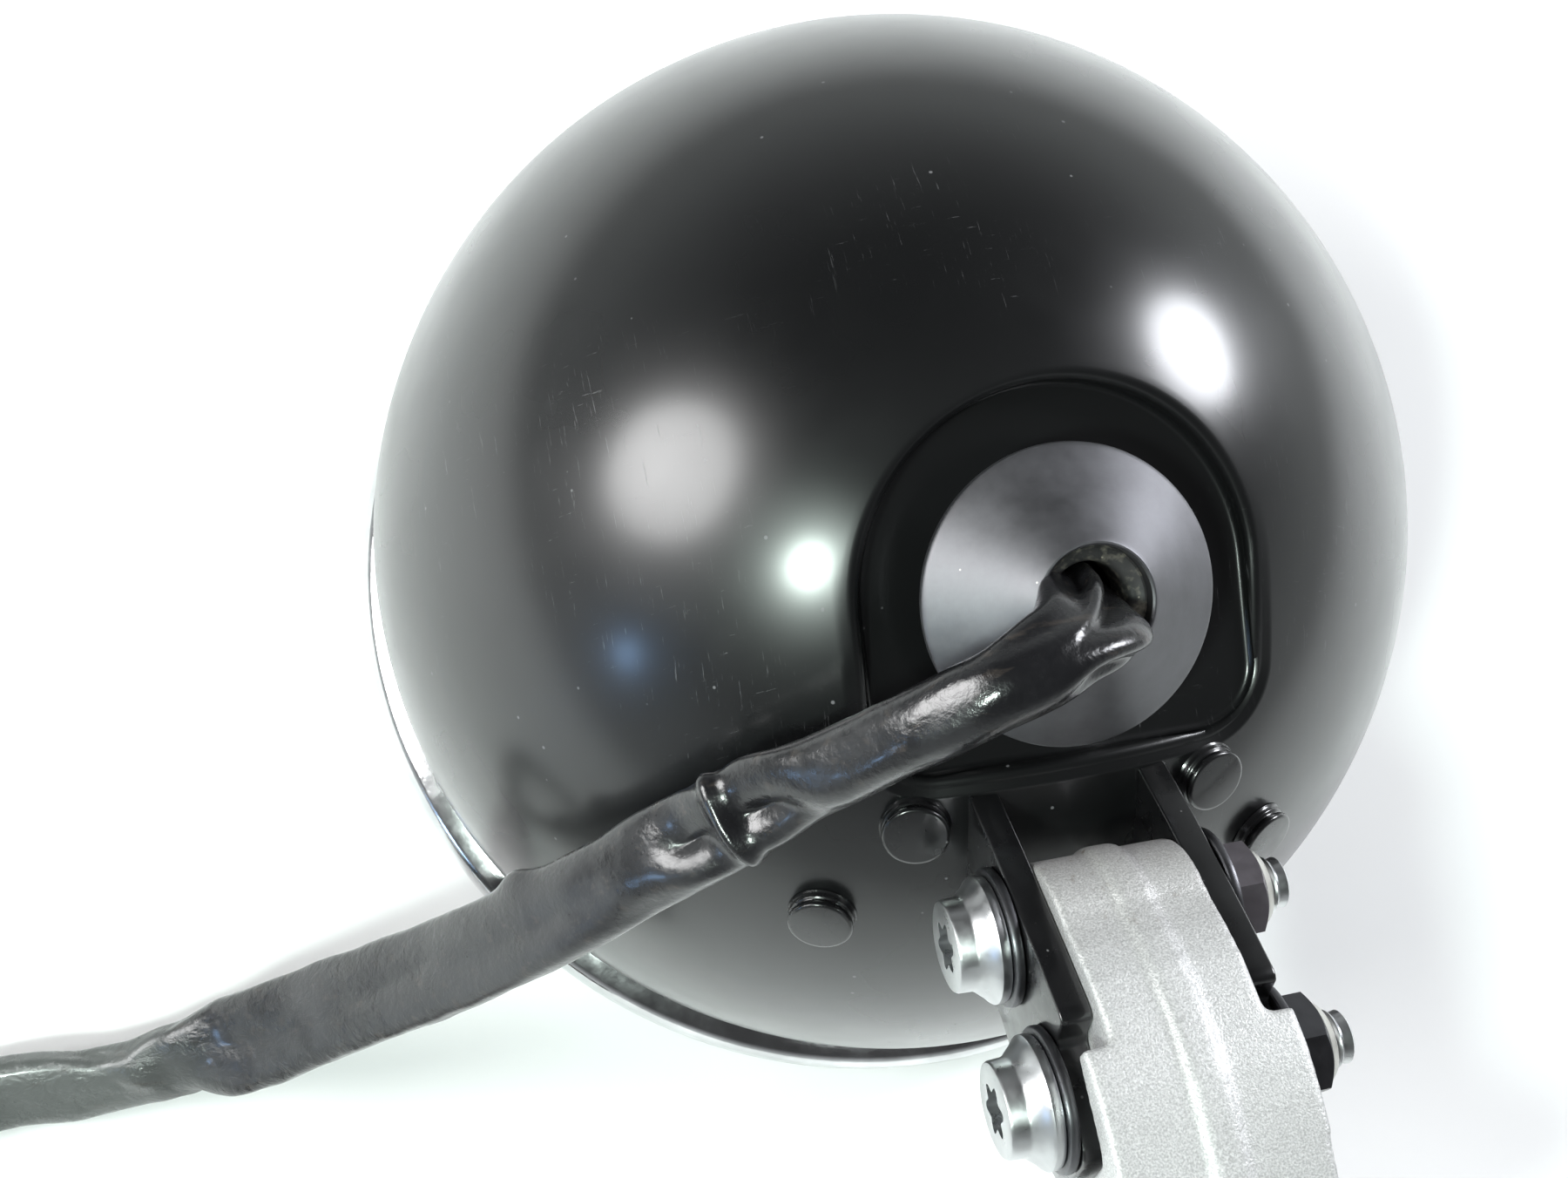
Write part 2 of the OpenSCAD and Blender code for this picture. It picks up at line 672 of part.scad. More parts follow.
// Bolt along X with its conical head towards -X and a star socket
module bolt(u) {
    color("#c7c9cb") at_pivot() translate([u, 0, 0]) {
        difference() {
            union() {
                translate([0, 0, -head_x - 2]) cylinder(r = bolt_flange_r, h = 2);
                translate([0, 0, -face_x])
                    cylinder(r1 = bolt_face_r, r2 = bolt_face_r + 1.5, h = bolt_head_h - 1.5);
            }
            translate([0, 0, -face_x - overcut]) star_socket(4 + overcut);
        }
        translate([0, 0, -head_x - 1]) cylinder(r = bolt_r, h = head_x + 1 + bolt_end_x);
    }
}

module star_socket(depth) {
    cylinder(r = 2.9, h = depth);
    for (a = [0 : 60 : 300]) rotate([0, 0, a]) translate([2.9, 0, 0]) cylinder(r = 1, h = depth);
}

module washers(x0) {
    color("#6f7275") for (u = [0, bolt_pitch]) at_pivot() translate([u, 0, 0])
        ring(bolt_r + seat_gap, washer_r, x0, x0 + washer_t - seat_gap);
}

module lock_nuts() {
    color("#8f8a92") for (u = [0, bolt_pitch]) at_pivot() translate([u, 0, nut_x]) difference() {
        union() {
            hexagon(nut_af, nut_h - 1.4);
            cylinder(r = nut_af / 2 - 0.6, h = nut_h);
        }
        translate([0, 0, -overcut]) cylinder(r = bolt_r + seat_gap, h = nut_h + 2 * overcut);
    }
}

// ---- sleeve and plug ----

function unit(v) = v / norm(v);
function cut(i, path) = unit(path[min(i + 1, len(path) - 1)] - path[max(i - 1, 0)]);
function across(t) = unit(cross(t, abs(t[2]) > 0.9 ? [0, 1, 0] : [0, 0, 1]));

// Points halfway along each leg, on a curve through its four neighbours
function halfway(p, i) = let(a = p[max(i - 1, 0)], b = p[i], c = p[i + 1], d = p[min(i + 2, len(p) - 1)])
    (9 * (b + c) - a - d) / 16;
function smooth(p) = [
    for (i = [0 : len(p) - 1]) each i < len(p) - 1 ? [p[i], halfway(p, i)] : [p[i]]
];

// A closed tube of the given radius along a path
module tube(path, r, sides) {
    rings = [
        for (i = [0 : len(path) - 1]) let(t = cut(i, path), a = across(t), b = cross(t, a))
            for (k = [0 : sides - 1]) path[i] + r * (cos(360 * k / sides) * a + sin(360 * k / sides) * b)
    ];
    last = (len(path) - 1) * sides;
    walls = [
        for (i = [0 : len(path) - 2], k = [0 : sides - 1]) let(j = i * sides, n = (k + 1) % sides)
            each [[j + k, j + n, j + sides + n], [j + k, j + sides + n, j + sides + k]]
    ];
    caps = [[for (k = [sides - 1 : -1 : 0]) k], [for (k = [0 : sides - 1]) last + k]];
    polyhedron(points = rings, faces = concat(walls, caps));
}

module sleeve() {
    color("#17181a") tube(smooth(ROUTE), sleeve_r, 12);
}

// Leads inside the lamp, from the gland's stem to the driver box
module inner_lead() {
    route = [
        [0, -31.5, 124.5], [0, -29.5, 119], [0, -27.8, 114.3], [0, -27.6, 109], [0, -30.5, 103],
        [0, -36, 96.5], [0, -41, 89], [0, -44.5, 80], [0, -45.5, 71.5]
    ];
    color("#1d1d1f") tube(route, 3, 10);
}

module plug_boot() {
    end = ROUTE[len(ROUTE) - 1];
    color("#101011") translate([end[0] - boot_bore_l, plug_at[1], plug_mid_h]) rotate([0, 90, 0])
        difference() {
            cylinder(
                r1 = sleeve_r + 1.6, r2 = plug_h / 2 - 1.2,
                h = plug_at[0] - end[0] + boot_bore_l - seat_gap
            );
            translate([0, 0, -overcut]) cylinder(r = sleeve_r + 0.2, h = boot_bore_l + overcut);
        }
}

module plug_body() {
    color("#18191b") translate(plug_at + [0, -plug_w / 2, 0]) difference() {
        cube([plug_l, plug_w, plug_h]);
        translate([plug_l - plug_mouth_l, plug_wall, plug_wall])
            cube([plug_mouth_l + overcut, plug_w - 2 * plug_wall, plug_h - 2 * plug_wall]);
    }
}

module plug_terminals() {
    floor_x = plug_at[0] + plug_l - plug_mouth_l;
    color("#c9b06a") for (y = [-6, 0, 6], z = [-3.5, 3.5])
        translate([floor_x + seat_gap, plug_at[1] + y - 0.8, plug_mid_h + z - 0.4]) cube([5, 1.6, 0.8]);
}

module plug_lock() {
    color("#7d1f1c") translate([plug_at[0] + 8, plug_at[1] - 4, plug_h + seat_gap]) {
        cube([14, 8, 1.4]);
        translate([10, 0, 1.2]) cube([3, 8, 1.8]);
    }
}

shell();
bracket(-1);  // bracket_left
bracket(1);  // bracket_right
rivets();
gland_collar();
gland_cap();
gland_nut();
gland_grommet();
trim_ring();
trim_screw();
trim_gasket();
lens();
mount_ring();
unit_screws();
lamp_bowl();
bezel();
ring_light();
projector_lens();
projector_barrel();
led_board();
led_chips();
heat_sink();
driver_box();
inner_lead();
arm();
bush(0);  // pivot_bush
bush(bolt_pitch);  // clamp_bush
bolt(0);  // pivot_bolt
bolt(bolt_pitch);  // clamp_bolt
washers(-washer_x - washer_t);  // bolt_washers
washers(washer_x);  // nut_washers
lock_nuts();
sleeve();
plug_boot();
plug_body();
plug_terminals();
plug_lock();
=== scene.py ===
"""Looks of a round motorcycle headlamp that lies on its lens, with its cast arm and its wiring sleeve.

Sizes are in millimetres, and each finished piece is brought to metres when it is put in place.
"""
from math import acos, atan2, cos, degrees, exp, hypot, pi, radians, sin, sqrt

import bmesh
import bpy
from mathutils import Matrix, Vector, noise


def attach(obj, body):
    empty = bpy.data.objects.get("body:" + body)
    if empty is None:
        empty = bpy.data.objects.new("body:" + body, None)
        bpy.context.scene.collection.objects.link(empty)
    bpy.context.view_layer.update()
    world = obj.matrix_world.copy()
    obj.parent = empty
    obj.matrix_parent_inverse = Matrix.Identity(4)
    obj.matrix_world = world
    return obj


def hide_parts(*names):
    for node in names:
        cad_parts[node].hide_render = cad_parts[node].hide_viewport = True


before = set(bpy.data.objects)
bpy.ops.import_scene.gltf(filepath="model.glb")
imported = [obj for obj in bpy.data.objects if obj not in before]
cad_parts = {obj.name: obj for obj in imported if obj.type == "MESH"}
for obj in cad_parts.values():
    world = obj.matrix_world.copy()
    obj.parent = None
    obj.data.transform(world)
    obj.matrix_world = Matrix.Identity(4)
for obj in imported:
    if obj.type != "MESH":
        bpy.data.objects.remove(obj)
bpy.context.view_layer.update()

MM = 0.001
TURN = 2 * pi
MERGE = 1e-4


# ---- sizes that the design gives, in millimetres ----

SHELL_R = 96
SIDE_OFFSET = 6
CROWN_RISE = 14
DOME_H = 38
SHELL_EDGE_H = 16
SHELL_WALL = 1.5
SIDE_ARC_R = SHELL_R + SIDE_OFFSET
CROWN_R = SIDE_ARC_R - hypot(SIDE_OFFSET, CROWN_RISE)
CROWN_ANGLE = atan2(SIDE_OFFSET, CROWN_RISE)

GLAND_TILT = radians(20)
POCKET_DEPTH = 9
POCKET_R = 29.4
POCKET_X = 1.5
POCKET_EDGE = 24.5
POCKET_CORNER_R = 9
CAP_R = 21.3
CAP_MOUTH_R = 7.9
FLOOR_D = CROWN_RISE * cos(GLAND_TILT) + CROWN_R - POCKET_DEPTH
CAP_D = FLOOR_D + 9.62
CONE_D = CAP_D + 1.5
MOUTH_D = CONE_D + 10.2
SEAT_D = MOUTH_D - 8.6

ARM_SLOPE = radians(20.3)
PIVOT_ANGLE = radians(44.2)
PIVOT_D = SIDE_ARC_R - SIDE_OFFSET * sin(PIVOT_ANGLE) + 14.5
PIVOT_Y = -PIVOT_D * sin(PIVOT_ANGLE)
PIVOT_Z = DOME_H + PIVOT_D * cos(PIVOT_ANGLE)
BOLT_PITCH = 23.4
HALF_GAP = 10.75
CHEEK_T = 4.4
CHEEK_HALF_W = 14
ARM_HALF_GAP = HALF_GAP - 0.12
ARM_HALF_W = 14.5
ARM_END_R = 12.7
ARM_END_U = 3.8
SHOULDER_U = BOLT_PITCH - 1.4
ARM_REACH = 88
FOOT_RISE = 9.5
FOOT_T = 14
FOOT_PITCH = 50
HEAD_X = HALF_GAP + CHEEK_T + 0.12 + 1.6
NUT_H = 6.6
THREAD_OUT = 3.4
HEAD_H = 6.8
RIVETS = [(20.5, 44), (27, 56)]

TRIM_ROLL = 14
SHELL_EDGE_R = sqrt(SIDE_ARC_R ** 2 - (DOME_H - SHELL_EDGE_H) ** 2) - SIDE_OFFSET
TRIM_R = SHELL_EDGE_R + 6.4
LAND_R = TRIM_R - TRIM_ROLL

SLEEVE_R = 5.2
PLUG = (-164, -145.5, 0)
PLUG_SIZE = (34, 24, 18)
BOOT_X = -183
ROUTE = [
    (0, -33, 128.5), (0, -36, 136.5), (-0.4, -37.8, 141), (-2.5, -40.5, 146),
    (-6.5, -43.3, 149.6), (-12, -46, 151), (-18.5, -48.4, 149.2), (-27.5, -50.6, 141.5),
    (-37.5, -52.6, 130.5), (-48.5, -55, 118.5), (-60.5, -58.6, 105), (-74, -62.3, 90),
    (-86, -65, 74), (-95, -66.3, 61.5), (-106, -67.8, 48.5), (-118.5, -69.6, 34.5),
    (-132.5, -71.4, 21.5), (-148, -72.6, 11.5), (-164, -72.6, 7), (-180, -71.8, 6),
    (-196, -74, 6), (-210, -83, 6), (-218.5, -98, 6), (-219.5, -115, 6), (-213, -130.5, 6),
    (-200.5, -141, 6.8), (-186, -145, 8.6), (-177, -145.5, 9),
]


# ---- places ----

AT_DOME = Matrix.Translation((0, 0, DOME_H))
AT_GLAND = AT_DOME @ Matrix.Rotation(GLAND_TILT, 4, "X")
# The bracket plane at the pivot bolt: x runs to the foot, y away from the dome, z towards +X
AT_PIVOT = Matrix((
    (0, 0, 1, 0),
    (-cos(ARM_SLOPE), sin(ARM_SLOPE), 0, PIVOT_Y),
    (sin(ARM_SLOPE), cos(ARM_SLOPE), 0, PIVOT_Z),
    (0, 0, 0, 1),
))


def on_side(azimuth, polar):
    """On the dome's side, z along its normal; azimuth is from -Y, polar from the lamp's axis."""
    return (
        AT_DOME @ Matrix.Rotation(radians(azimuth - 90), 4, "Z")
        @ Matrix.Translation((-SIDE_OFFSET, 0, 0)) @ Matrix.Rotation(radians(polar), 4, "Y")
        @ Matrix.Translation((0, 0, SIDE_ARC_R))
    )


# ---- modelling ----

UPRIGHT = Matrix.Rotation(pi / 2, 4, "X")


def deselect():
    """Leaves edit mode and clears the selection."""
    if bpy.context.object and bpy.context.object.mode != "OBJECT":
        bpy.ops.object.mode_set(mode="OBJECT")
    bpy.ops.object.select_all(action="DESELECT")


def pick(piece):
    """Makes a piece the only selected and active one."""
    deselect()
    piece.select_set(True)
    bpy.context.view_layer.objects.active = piece


def loop_of(name, points, closed=True):
    """A ring or a line of vertices at the given points, open in edit mode and all selected."""
    deselect()
    bpy.ops.mesh.primitive_circle_add(vertices=len(points), radius=1)
    piece = bpy.context.object
    piece.name = piece.data.name = name
    for vertex, point in zip(piece.data.vertices, points):
        vertex.co = point if len(point) == 3 else (*point, 0)
    if not closed:
        shape = bmesh.new()
        shape.from_mesh(piece.data)
        shape.verts.ensure_lookup_table()
        ends = {shape.verts[0], shape.verts[-1]}
        shape.edges.remove(next(e for e in shape.edges if set(e.verts) == ends))
        shape.to_mesh(piece.data)
        shape.free()
    bpy.ops.object.mode_set(mode="EDIT")
    bpy.ops.mesh.select_all(action="SELECT")
    return piece


def linked(name, data):
    """A new object for a mesh, a light or a camera."""
    piece = bpy.data.objects.new(name, data)
    bpy.context.scene.collection.objects.link(piece)
    return piece


def close_up():
    """Merges doubled vertices, points the faces outwards and leaves edit mode."""
    bpy.ops.mesh.select_all(action="SELECT")
    bpy.ops.mesh.remove_doubles(threshold=MERGE)
    bpy.ops.mesh.dissolve_degenerate(threshold=MERGE)
    bpy.ops.mesh.normals_make_consistent(inside=False)
    bpy.ops.object.mode_set(mode="OBJECT")


def turned(name, outline, steps=96, closed=True, angle=TURN):
    """A lathe shape round z from an outline of (radius, height)."""
    piece = loop_of(name, [(r, 0, z) for r, z in outline], closed)
    bpy.ops.mesh.spin(steps=steps, angle=angle, center=(0, 0, 0), axis=(0, 0, 1))
    close_up()
    return piece


def rod(name, radius, z0, z1):
    """A plain cylinder along z."""
    return turned(name, [(0, z0), (radius, z0), (radius, z1), (0, z1)], 48, closed=False)


def slab(name, outline, z0, z1):
    """A flat outline given a thickness from z0 to z1."""
    piece = loop_of(name, [(x, y, z0) for x, y in outline])
    bpy.ops.mesh.edge_face_add()
    bpy.ops.mesh.extrude_region_move(TRANSFORM_OT_translate={"value": (0, 0, z1 - z0)})
    close_up()
    return piece


def modify(piece, kind, **values):
    """Adds a modifier and applies it."""
    pick(piece)
    bpy.ops.object.modifier_add(type=kind)
    modifier = piece.modifiers[-1]
    for name, value in values.items():
        setattr(modifier, name, value)
    bpy.ops.object.modifier_apply(modifier=modifier.name)
    return piece


def rounded(piece, width, segments=3, angle=30):
    """Bevels a piece's sharp edges."""
    return modify(
        piece, "BEVEL", width=width, segments=segments, limit_method="ANGLE",
        angle_limit=radians(angle), miter_outer="MITER_ARC",
    )


def combined(piece, other, operation):
    """Joins, cuts or intersects two shapes, and removes the second."""
    modify(piece, "BOOLEAN", operation=operation, object=other, solver="EXACT")
    bpy.data.objects.remove(other)
    return piece


def moved(piece, matrix):
    """Moves a piece within its mesh."""
    piece.data.transform(matrix)
    return piece


def finished(piece, matrix, body, finish, smooth=35):
    """Puts a piece in its place in metres, shades it, and gives it its body and finish."""
    pick(moved(piece, Matrix.Scale(MM, 4) @ matrix))
    bpy.ops.object.shade_smooth_by_angle(angle=radians(smooth))
    piece.data.materials.clear()
    piece.data.materials.append(finish)
    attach(piece, body)
    deselect()
    return piece


def arc(centre, radius, start, end, steps):
    """Points on an arc, from a start angle to an end angle in degrees."""
    angles = [radians(start + (end - start) * i / steps) for i in range(steps + 1)]
    return [(centre[0] + radius * cos(a), centre[1] + radius * sin(a)) for a in angles]


def bands(shape, rings):
    """Faces between closed rings of vertices, each with its row and its column."""
    for i, (here, there) in enumerate(zip(rings, rings[1:])):
        for k in range(len(here)):
            n = (k + 1) % len(here)
            yield i, k, shape.faces.new((here[k], there[k], there[n], here[n]))


def mixed(a, b, share):
    """The value a share of the way from a to b."""
    return a + (b - a) * share


def eased(share):
    """A share from 0 to 1 with a smooth start and stop."""
    share = min(max(share, 0), 1)
    return share * share * (3 - 2 * share)


# ---- materials ----

class Finish:
    """A material with a Principled shader, and short ways to add nodes to it."""

    def __init__(self, name, colour, roughness, metallic=0.0, **sockets):
        self.material = bpy.data.materials.new(name)
        self.material.use_nodes = True
        self.tree = self.material.node_tree
        self.shader = self.tree.nodes["Principled BSDF"]
        self.set("Base Color", (*colour, 1))
        self.set("Roughness", roughness)
        self.set("Metallic", metallic)
        for socket, value in sockets.items():
            self.set(socket.replace("_", " "), value)

    def set(self, socket, value):
        self.shader.inputs[socket].default_value = value

    def add(self, kind, **values):
        """A node with the given properties; inputs takes a value or a socket for each input."""
        node = self.tree.nodes.new(kind)
        inputs = values.pop("inputs", {})
        for name, value in values.items():
            setattr(node, name, value)
        for name, value in inputs.items():
            if isinstance(value, bpy.types.NodeSocket):
                self.tree.links.new(value, node.inputs[name])
            else:
                node.inputs[name].default_value = value
        return node

    def place(self, scale=(1, 1, 1), turn=(0, 0, 0), shift=(0, 0, 0)):
        """Object coordinates, scaled and turned."""
        coordinates = self.add("ShaderNodeTexCoord").outputs["Object"]
        return self.add("ShaderNodeMapping", inputs={
            "Vector": coordinates, "Scale": scale, "Rotation": turn, "Location": shift,
        }).outputs[0]

    def grain(self, scale, detail=4.0, rough=0.55, vector=None, distortion=0.0):
        return self.add("ShaderNodeTexNoise", inputs={
            "Vector": vector or self.place(), "Scale": scale, "Detail": detail,
            "Roughness": rough, "Distortion": distortion,
        }).outputs["Fac"]

    def between(self, value, low, high, bottom=0.0, top=1.0):
        """The value's stretch from low to high, brought to bottom to top."""
        return self.add("ShaderNodeMapRange", inputs={
            0: value, 1: low, 2: high, 3: bottom, 4: top,
        }).outputs[0]

    def maths(self, operation, a, b=0.0):
        return self.add("ShaderNodeMath", operation=operation, inputs={0: a, 1: b}).outputs[0]

    def blend(self, factor, a, b):
        """A colour from a to b."""
        a, b = (c if isinstance(c, bpy.types.NodeSocket) else (*c, 1) for c in (a, b))
        mix = self.add("ShaderNodeMix", data_type="RGBA", inputs={0: factor, 6: a, 7: b})
        return mix.outputs[2]

    def use(self, socket, value):
        self.tree.links.new(value, self.shader.inputs[socket])

    def bump(self, height, strength, depth):
        """A relief of the given depth in metres."""
        self.use("Normal", self.add("ShaderNodeBump", inputs={
            "Height": height, "Strength": strength, "Distance": depth,
        }).outputs[0])


def specks(finish, scale, size, share):
    """Scattered dots: about a share of the cells of the given scale holds one."""
    cells = finish.add("ShaderNodeTexVoronoi", inputs={
        "Vector": finish.place(), "Scale": scale, "Randomness": 1.0,
    })
    near = finish.between(cells.outputs["Distance"], size * 0.6, size, 1, 0)
    chosen = finish.add("ShaderNodeSeparateColor", inputs={0: cells.outputs["Color"]}).outputs[0]
    return finish.maths("MULTIPLY", near, finish.maths("LESS_THAN", chosen, share))


def gloss_black_paint():
    """Black lacquer with hairline scratches in patches, and a little dust."""
    black = (0.0045, 0.0047, 0.005)
    paint = Finish(
        "gloss_black_lacquer", black, 0.3,
        Coat_Weight=0.6, Coat_Roughness=0.19, Coat_IOR=1.5, Specular_IOR_Level=0.45,
    )
    cloud = paint.grain(28, 3)
    hair = paint.grain(1, 5, 0.7, paint.place((2600, 130, 300), (0.2, 0.1, 0.35)))
    cross = paint.grain(1, 5, 0.7, paint.place((220, 2300, 260), (0.1, 0.4, -0.25)))
    hairs = paint.maths("MAXIMUM", paint.between(hair, 0.63, 0.7), paint.between(cross, 0.66, 0.73))
    patch = paint.between(paint.grain(24, 2, vector=paint.place(shift=(0.31, 0.12, 0.4))), 0.5, 0.62)
    worn = paint.maths("MULTIPLY", hairs, patch)
    dust = specks(paint, 330, 0.11, 0.1)
    marked = paint.maths("MAXIMUM", paint.maths("MULTIPLY", worn, 0.55), dust)
    paint.use("Base Color", paint.blend(marked, black, (0.12, 0.12, 0.125)))
    paint.use("Roughness", paint.maths("ADD", paint.between(cloud, 0.3, 0.7, 0.24, 0.36),
                                       paint.maths("MULTIPLY", marked, 0.3)))
    paint.bump(worn, 0.35, 0.00002)
    return paint.material


def black_steel_paint():
    """The same lacquer on small thick pieces, with an uneven skin."""
    black = (0.005, 0.005, 0.0055)
    paint = Finish(
        "black_lacquered_steel", black, 0.3, Coat_Weight=0.7, Coat_Roughness=0.1, Coat_IOR=1.5,
    )
    paint.use("Roughness", paint.between(paint.grain(160, 4), 0.3, 0.75, 0.2, 0.42))
    dust = specks(paint, 520, 0.12, 0.1)
    paint.use("Base Color", paint.blend(dust, black, (0.14, 0.14, 0.14)))
    paint.bump(paint.grain(420, 2), 0.12, 0.0001)
    return paint.material


def turned_aluminium():
    """Satin aluminium with fine rings from turning round the gland's axis."""
    metal = Finish("turned_aluminium", (0.25, 0.25, 0.26), 0.5, 1.0, Anisotropic=0.2)
    tangent = metal.add("ShaderNodeTangent", direction_type="UV_MAP", uv_map="UVMap")
    metal.use("Tangent", tangent.outputs[0])
    spun = metal.place(turn=(-GLAND_TILT, 0, 0))
    parts = metal.add("ShaderNodeSeparateXYZ", inputs={0: spun})
    lifted = metal.maths("ADD", parts.outputs[1], DOME_H * MM * sin(-GLAND_TILT))
    flat = metal.add("ShaderNodeCombineXYZ", inputs={0: parts.outputs[0], 1: lifted})
    radius = metal.add("ShaderNodeVectorMath", operation="LENGTH", inputs={0: flat.outputs[0]})
    rings = metal.add("ShaderNodeTexNoise", noise_dimensions="1D", inputs={
        "W": radius.outputs["Value"], "Scale": 5200.0, "Detail": 3.0, "Roughness": 0.7,
    }).outputs["Fac"]
    cloud = metal.grain(120, 5, 0.65)
    metal.use("Roughness", metal.between(cloud, 0.3, 0.72, 0.46, 0.56))
    tint = metal.blend(metal.between(cloud, 0.35, 0.7), (0.15, 0.15, 0.158), (0.2, 0.2, 0.212))
    dust = specks(metal, 620, 0.13, 0.05)
    metal.use("Base Color", metal.blend(dust, tint, (0.62, 0.6, 0.56)))
    metal.bump(rings, 0.3, 0.00003)
    return metal.material


def cast_aluminium():
    """Shot-blasted casting, sparkling, with brown stains near its round end."""
    metal = Finish("cast_aluminium", (0.62, 0.62, 0.615), 0.46, 0.45)
    pits = metal.grain(3600, 3, 0.6)
    coarse = metal.grain(1700, 3, 0.6)
    cloud = metal.grain(60, 4)
    towards_end = metal.add("ShaderNodeSeparateXYZ", inputs={0: metal.place()}).outputs[1]
    near_end = metal.between(towards_end, -0.085, -0.066)
    spots = metal.between(metal.grain(520, 4, 0.65), 0.6, 0.7)
    brown = metal.maths("ADD", metal.maths("MULTIPLY", spots, 0.75), 0.22)
    stain = metal.maths("MULTIPLY", near_end, brown)
    clean = metal.blend(metal.between(pits, 0.36, 0.66), (0.43, 0.43, 0.43), (0.72, 0.72, 0.715))
    metal.use("Base Color", metal.blend(stain, clean, (0.2, 0.15, 0.115)))
    metal.use("Roughness", metal.between(cloud, 0.3, 0.7, 0.38, 0.52))
    metal.bump(metal.maths("ADD", pits, coarse), 0.6, 0.00014)
    return metal.material


def plated(name, colour, roughness, smear=0.12):
    """Zinc plating or another bright metal, with a cloudy gloss."""
    metal = Finish(name, colour, roughness, 1.0)
    cloud = metal.grain(260, 5, 0.65)
    metal.use("Roughness", metal.between(cloud, 0.3, 0.7, roughness - smear / 2, roughness + smear))
    dull = tuple(c * 0.72 for c in colour)
    metal.use("Base Color", metal.blend(metal.between(metal.grain(90, 4), 0.35, 0.7), dull, colour))
    metal.bump(metal.grain(900, 3), 0.18, 0.00008)
    return metal.material


def black_vinyl():
    """Soft plastic sleeve: glossy, with dull rubbed stretches, creases and brown dust, and a painted
    reflection of the white wall, pale greenish grey, on its far end.
    """
    skin = Finish(
        "black_vinyl_sleeve", (0.011, 0.011, 0.012), 0.3,
        Coat_Weight=0.35, Coat_Roughness=0.14, Specular_IOR_Level=0.55,
    )
    along = skin.add("ShaderNodeUVMap", uv_map="UVMap").outputs[0]
    run = skin.add("ShaderNodeSeparateXYZ", inputs={0: along}).outputs[0]
    rubbed = skin.between(skin.grain(70, 5, 0.65), 0.42, 0.62)
    far = skin.between(run, 0.3, 0.5)
    dull = skin.maths("MULTIPLY", rubbed, skin.between(run, 0.1, 0.5, 0.35, 1.0))
    edge = skin.between(skin.grain(1, 4, 0.6, skin.place((90, 500, 500))), 0.58, 0.7)
    brown = skin.maths("MULTIPLY", edge, 0.42)
    tone = skin.blend(dull, (0.007, 0.007, 0.008), (0.022, 0.022, 0.024))
    # Painted reflection: from about 0.55 to 0.62 of the sleeve's length onwards its colour turns pale
    # greenish grey, standing in for the white wall it reflects.
    painted_reflection = skin.between(run, 0.55, 0.62)
    pale = skin.blend(painted_reflection, tone, (0.1, 0.108, 0.103))
    skin.use("Base Color", skin.blend(brown, pale, (0.06, 0.048, 0.04)))
    skin.use("Roughness", skin.maths("ADD", skin.between(skin.grain(220, 4), 0.3, 0.7, 0.18, 0.3),
                                     skin.maths("MULTIPLY", dull, 0.2)))
    wrinkle = skin.grain(1, 5, 0.6, skin.place((260, 420, 420)), 0.6)
    fine = skin.maths("MULTIPLY", skin.grain(900, 3), 0.25)
    skin.bump(skin.maths("ADD", skin.maths("MULTIPLY", wrinkle, far), fine), 0.6, 0.0007)
    return skin.material


def moulded(name, colour, roughness=0.5, dust=0.0, relief=0.25):
    """Moulded plastic or rubber with a fine grain."""
    skin = Finish(name, colour, roughness)
    skin.use("Roughness", skin.between(skin.grain(300, 4), 0.3, 0.7, roughness - 0.08, roughness + 0.1))
    light = tuple(min(c * 1.5 + 0.015, 1) for c in colour)
    tone = skin.blend(skin.between(skin.grain(140, 4), 0.4, 0.7), colour, light)
    if dust:
        spots = skin.maths("MAXIMUM", specks(skin, 900, 0.2, 0.22),
                           skin.maths("MULTIPLY", skin.between(skin.grain(700, 4), 0.5, 0.72), 0.5))
        tone = skin.blend(skin.maths("MULTIPLY", spots, dust), tone, (0.3, 0.28, 0.22))
    skin.use("Base Color", tone)
    skin.bump(skin.grain(1300, 2), relief, 0.0001)
    return skin.material


def clear_plastic():
    """Clear plastic, as on the lens."""
    glass = Finish("clear_polycarbonate", (0.97, 0.98, 0.98), 0.01, Transmission_Weight=1.0, IOR=1.5)
    glass.use("Roughness", glass.between(glass.grain(60, 3), 0.3, 0.7, 0.01, 0.04))
    return glass.material


def glowing_guide():
    """Frosted plastic that spreads light."""
    guide = Finish("frosted_light_guide", (0.85, 0.86, 0.87), 0.4,
                   Subsurface_Weight=0.3, Subsurface_Radius=(0.004, 0.004, 0.004))
    guide.use("Roughness", guide.between(guide.grain(400, 3), 0.3, 0.7, 0.3, 0.5))
    guide.bump(guide.grain(700, 2), 0.1, 0.0001)
    return guide.material


def circuit_board():
    """Green board with paler tracks."""
    board = Finish("green_circuit_board", (0.012, 0.09, 0.045), 0.35)
    tracks = board.add("ShaderNodeTexBrick", inputs={
        "Vector": board.place(), "Scale": 420.0, "Mortar Size": 0.03,
        "Color1": (0.01, 0.085, 0.04, 1), "Color2": (0.013, 0.1, 0.05, 1),
        "Mortar": (0.03, 0.16, 0.08, 1),
    })
    board.use("Base Color", tracks.outputs["Color"])
    board.bump(tracks.outputs["Fac"], 0.2, 0.0001)
    return board.material


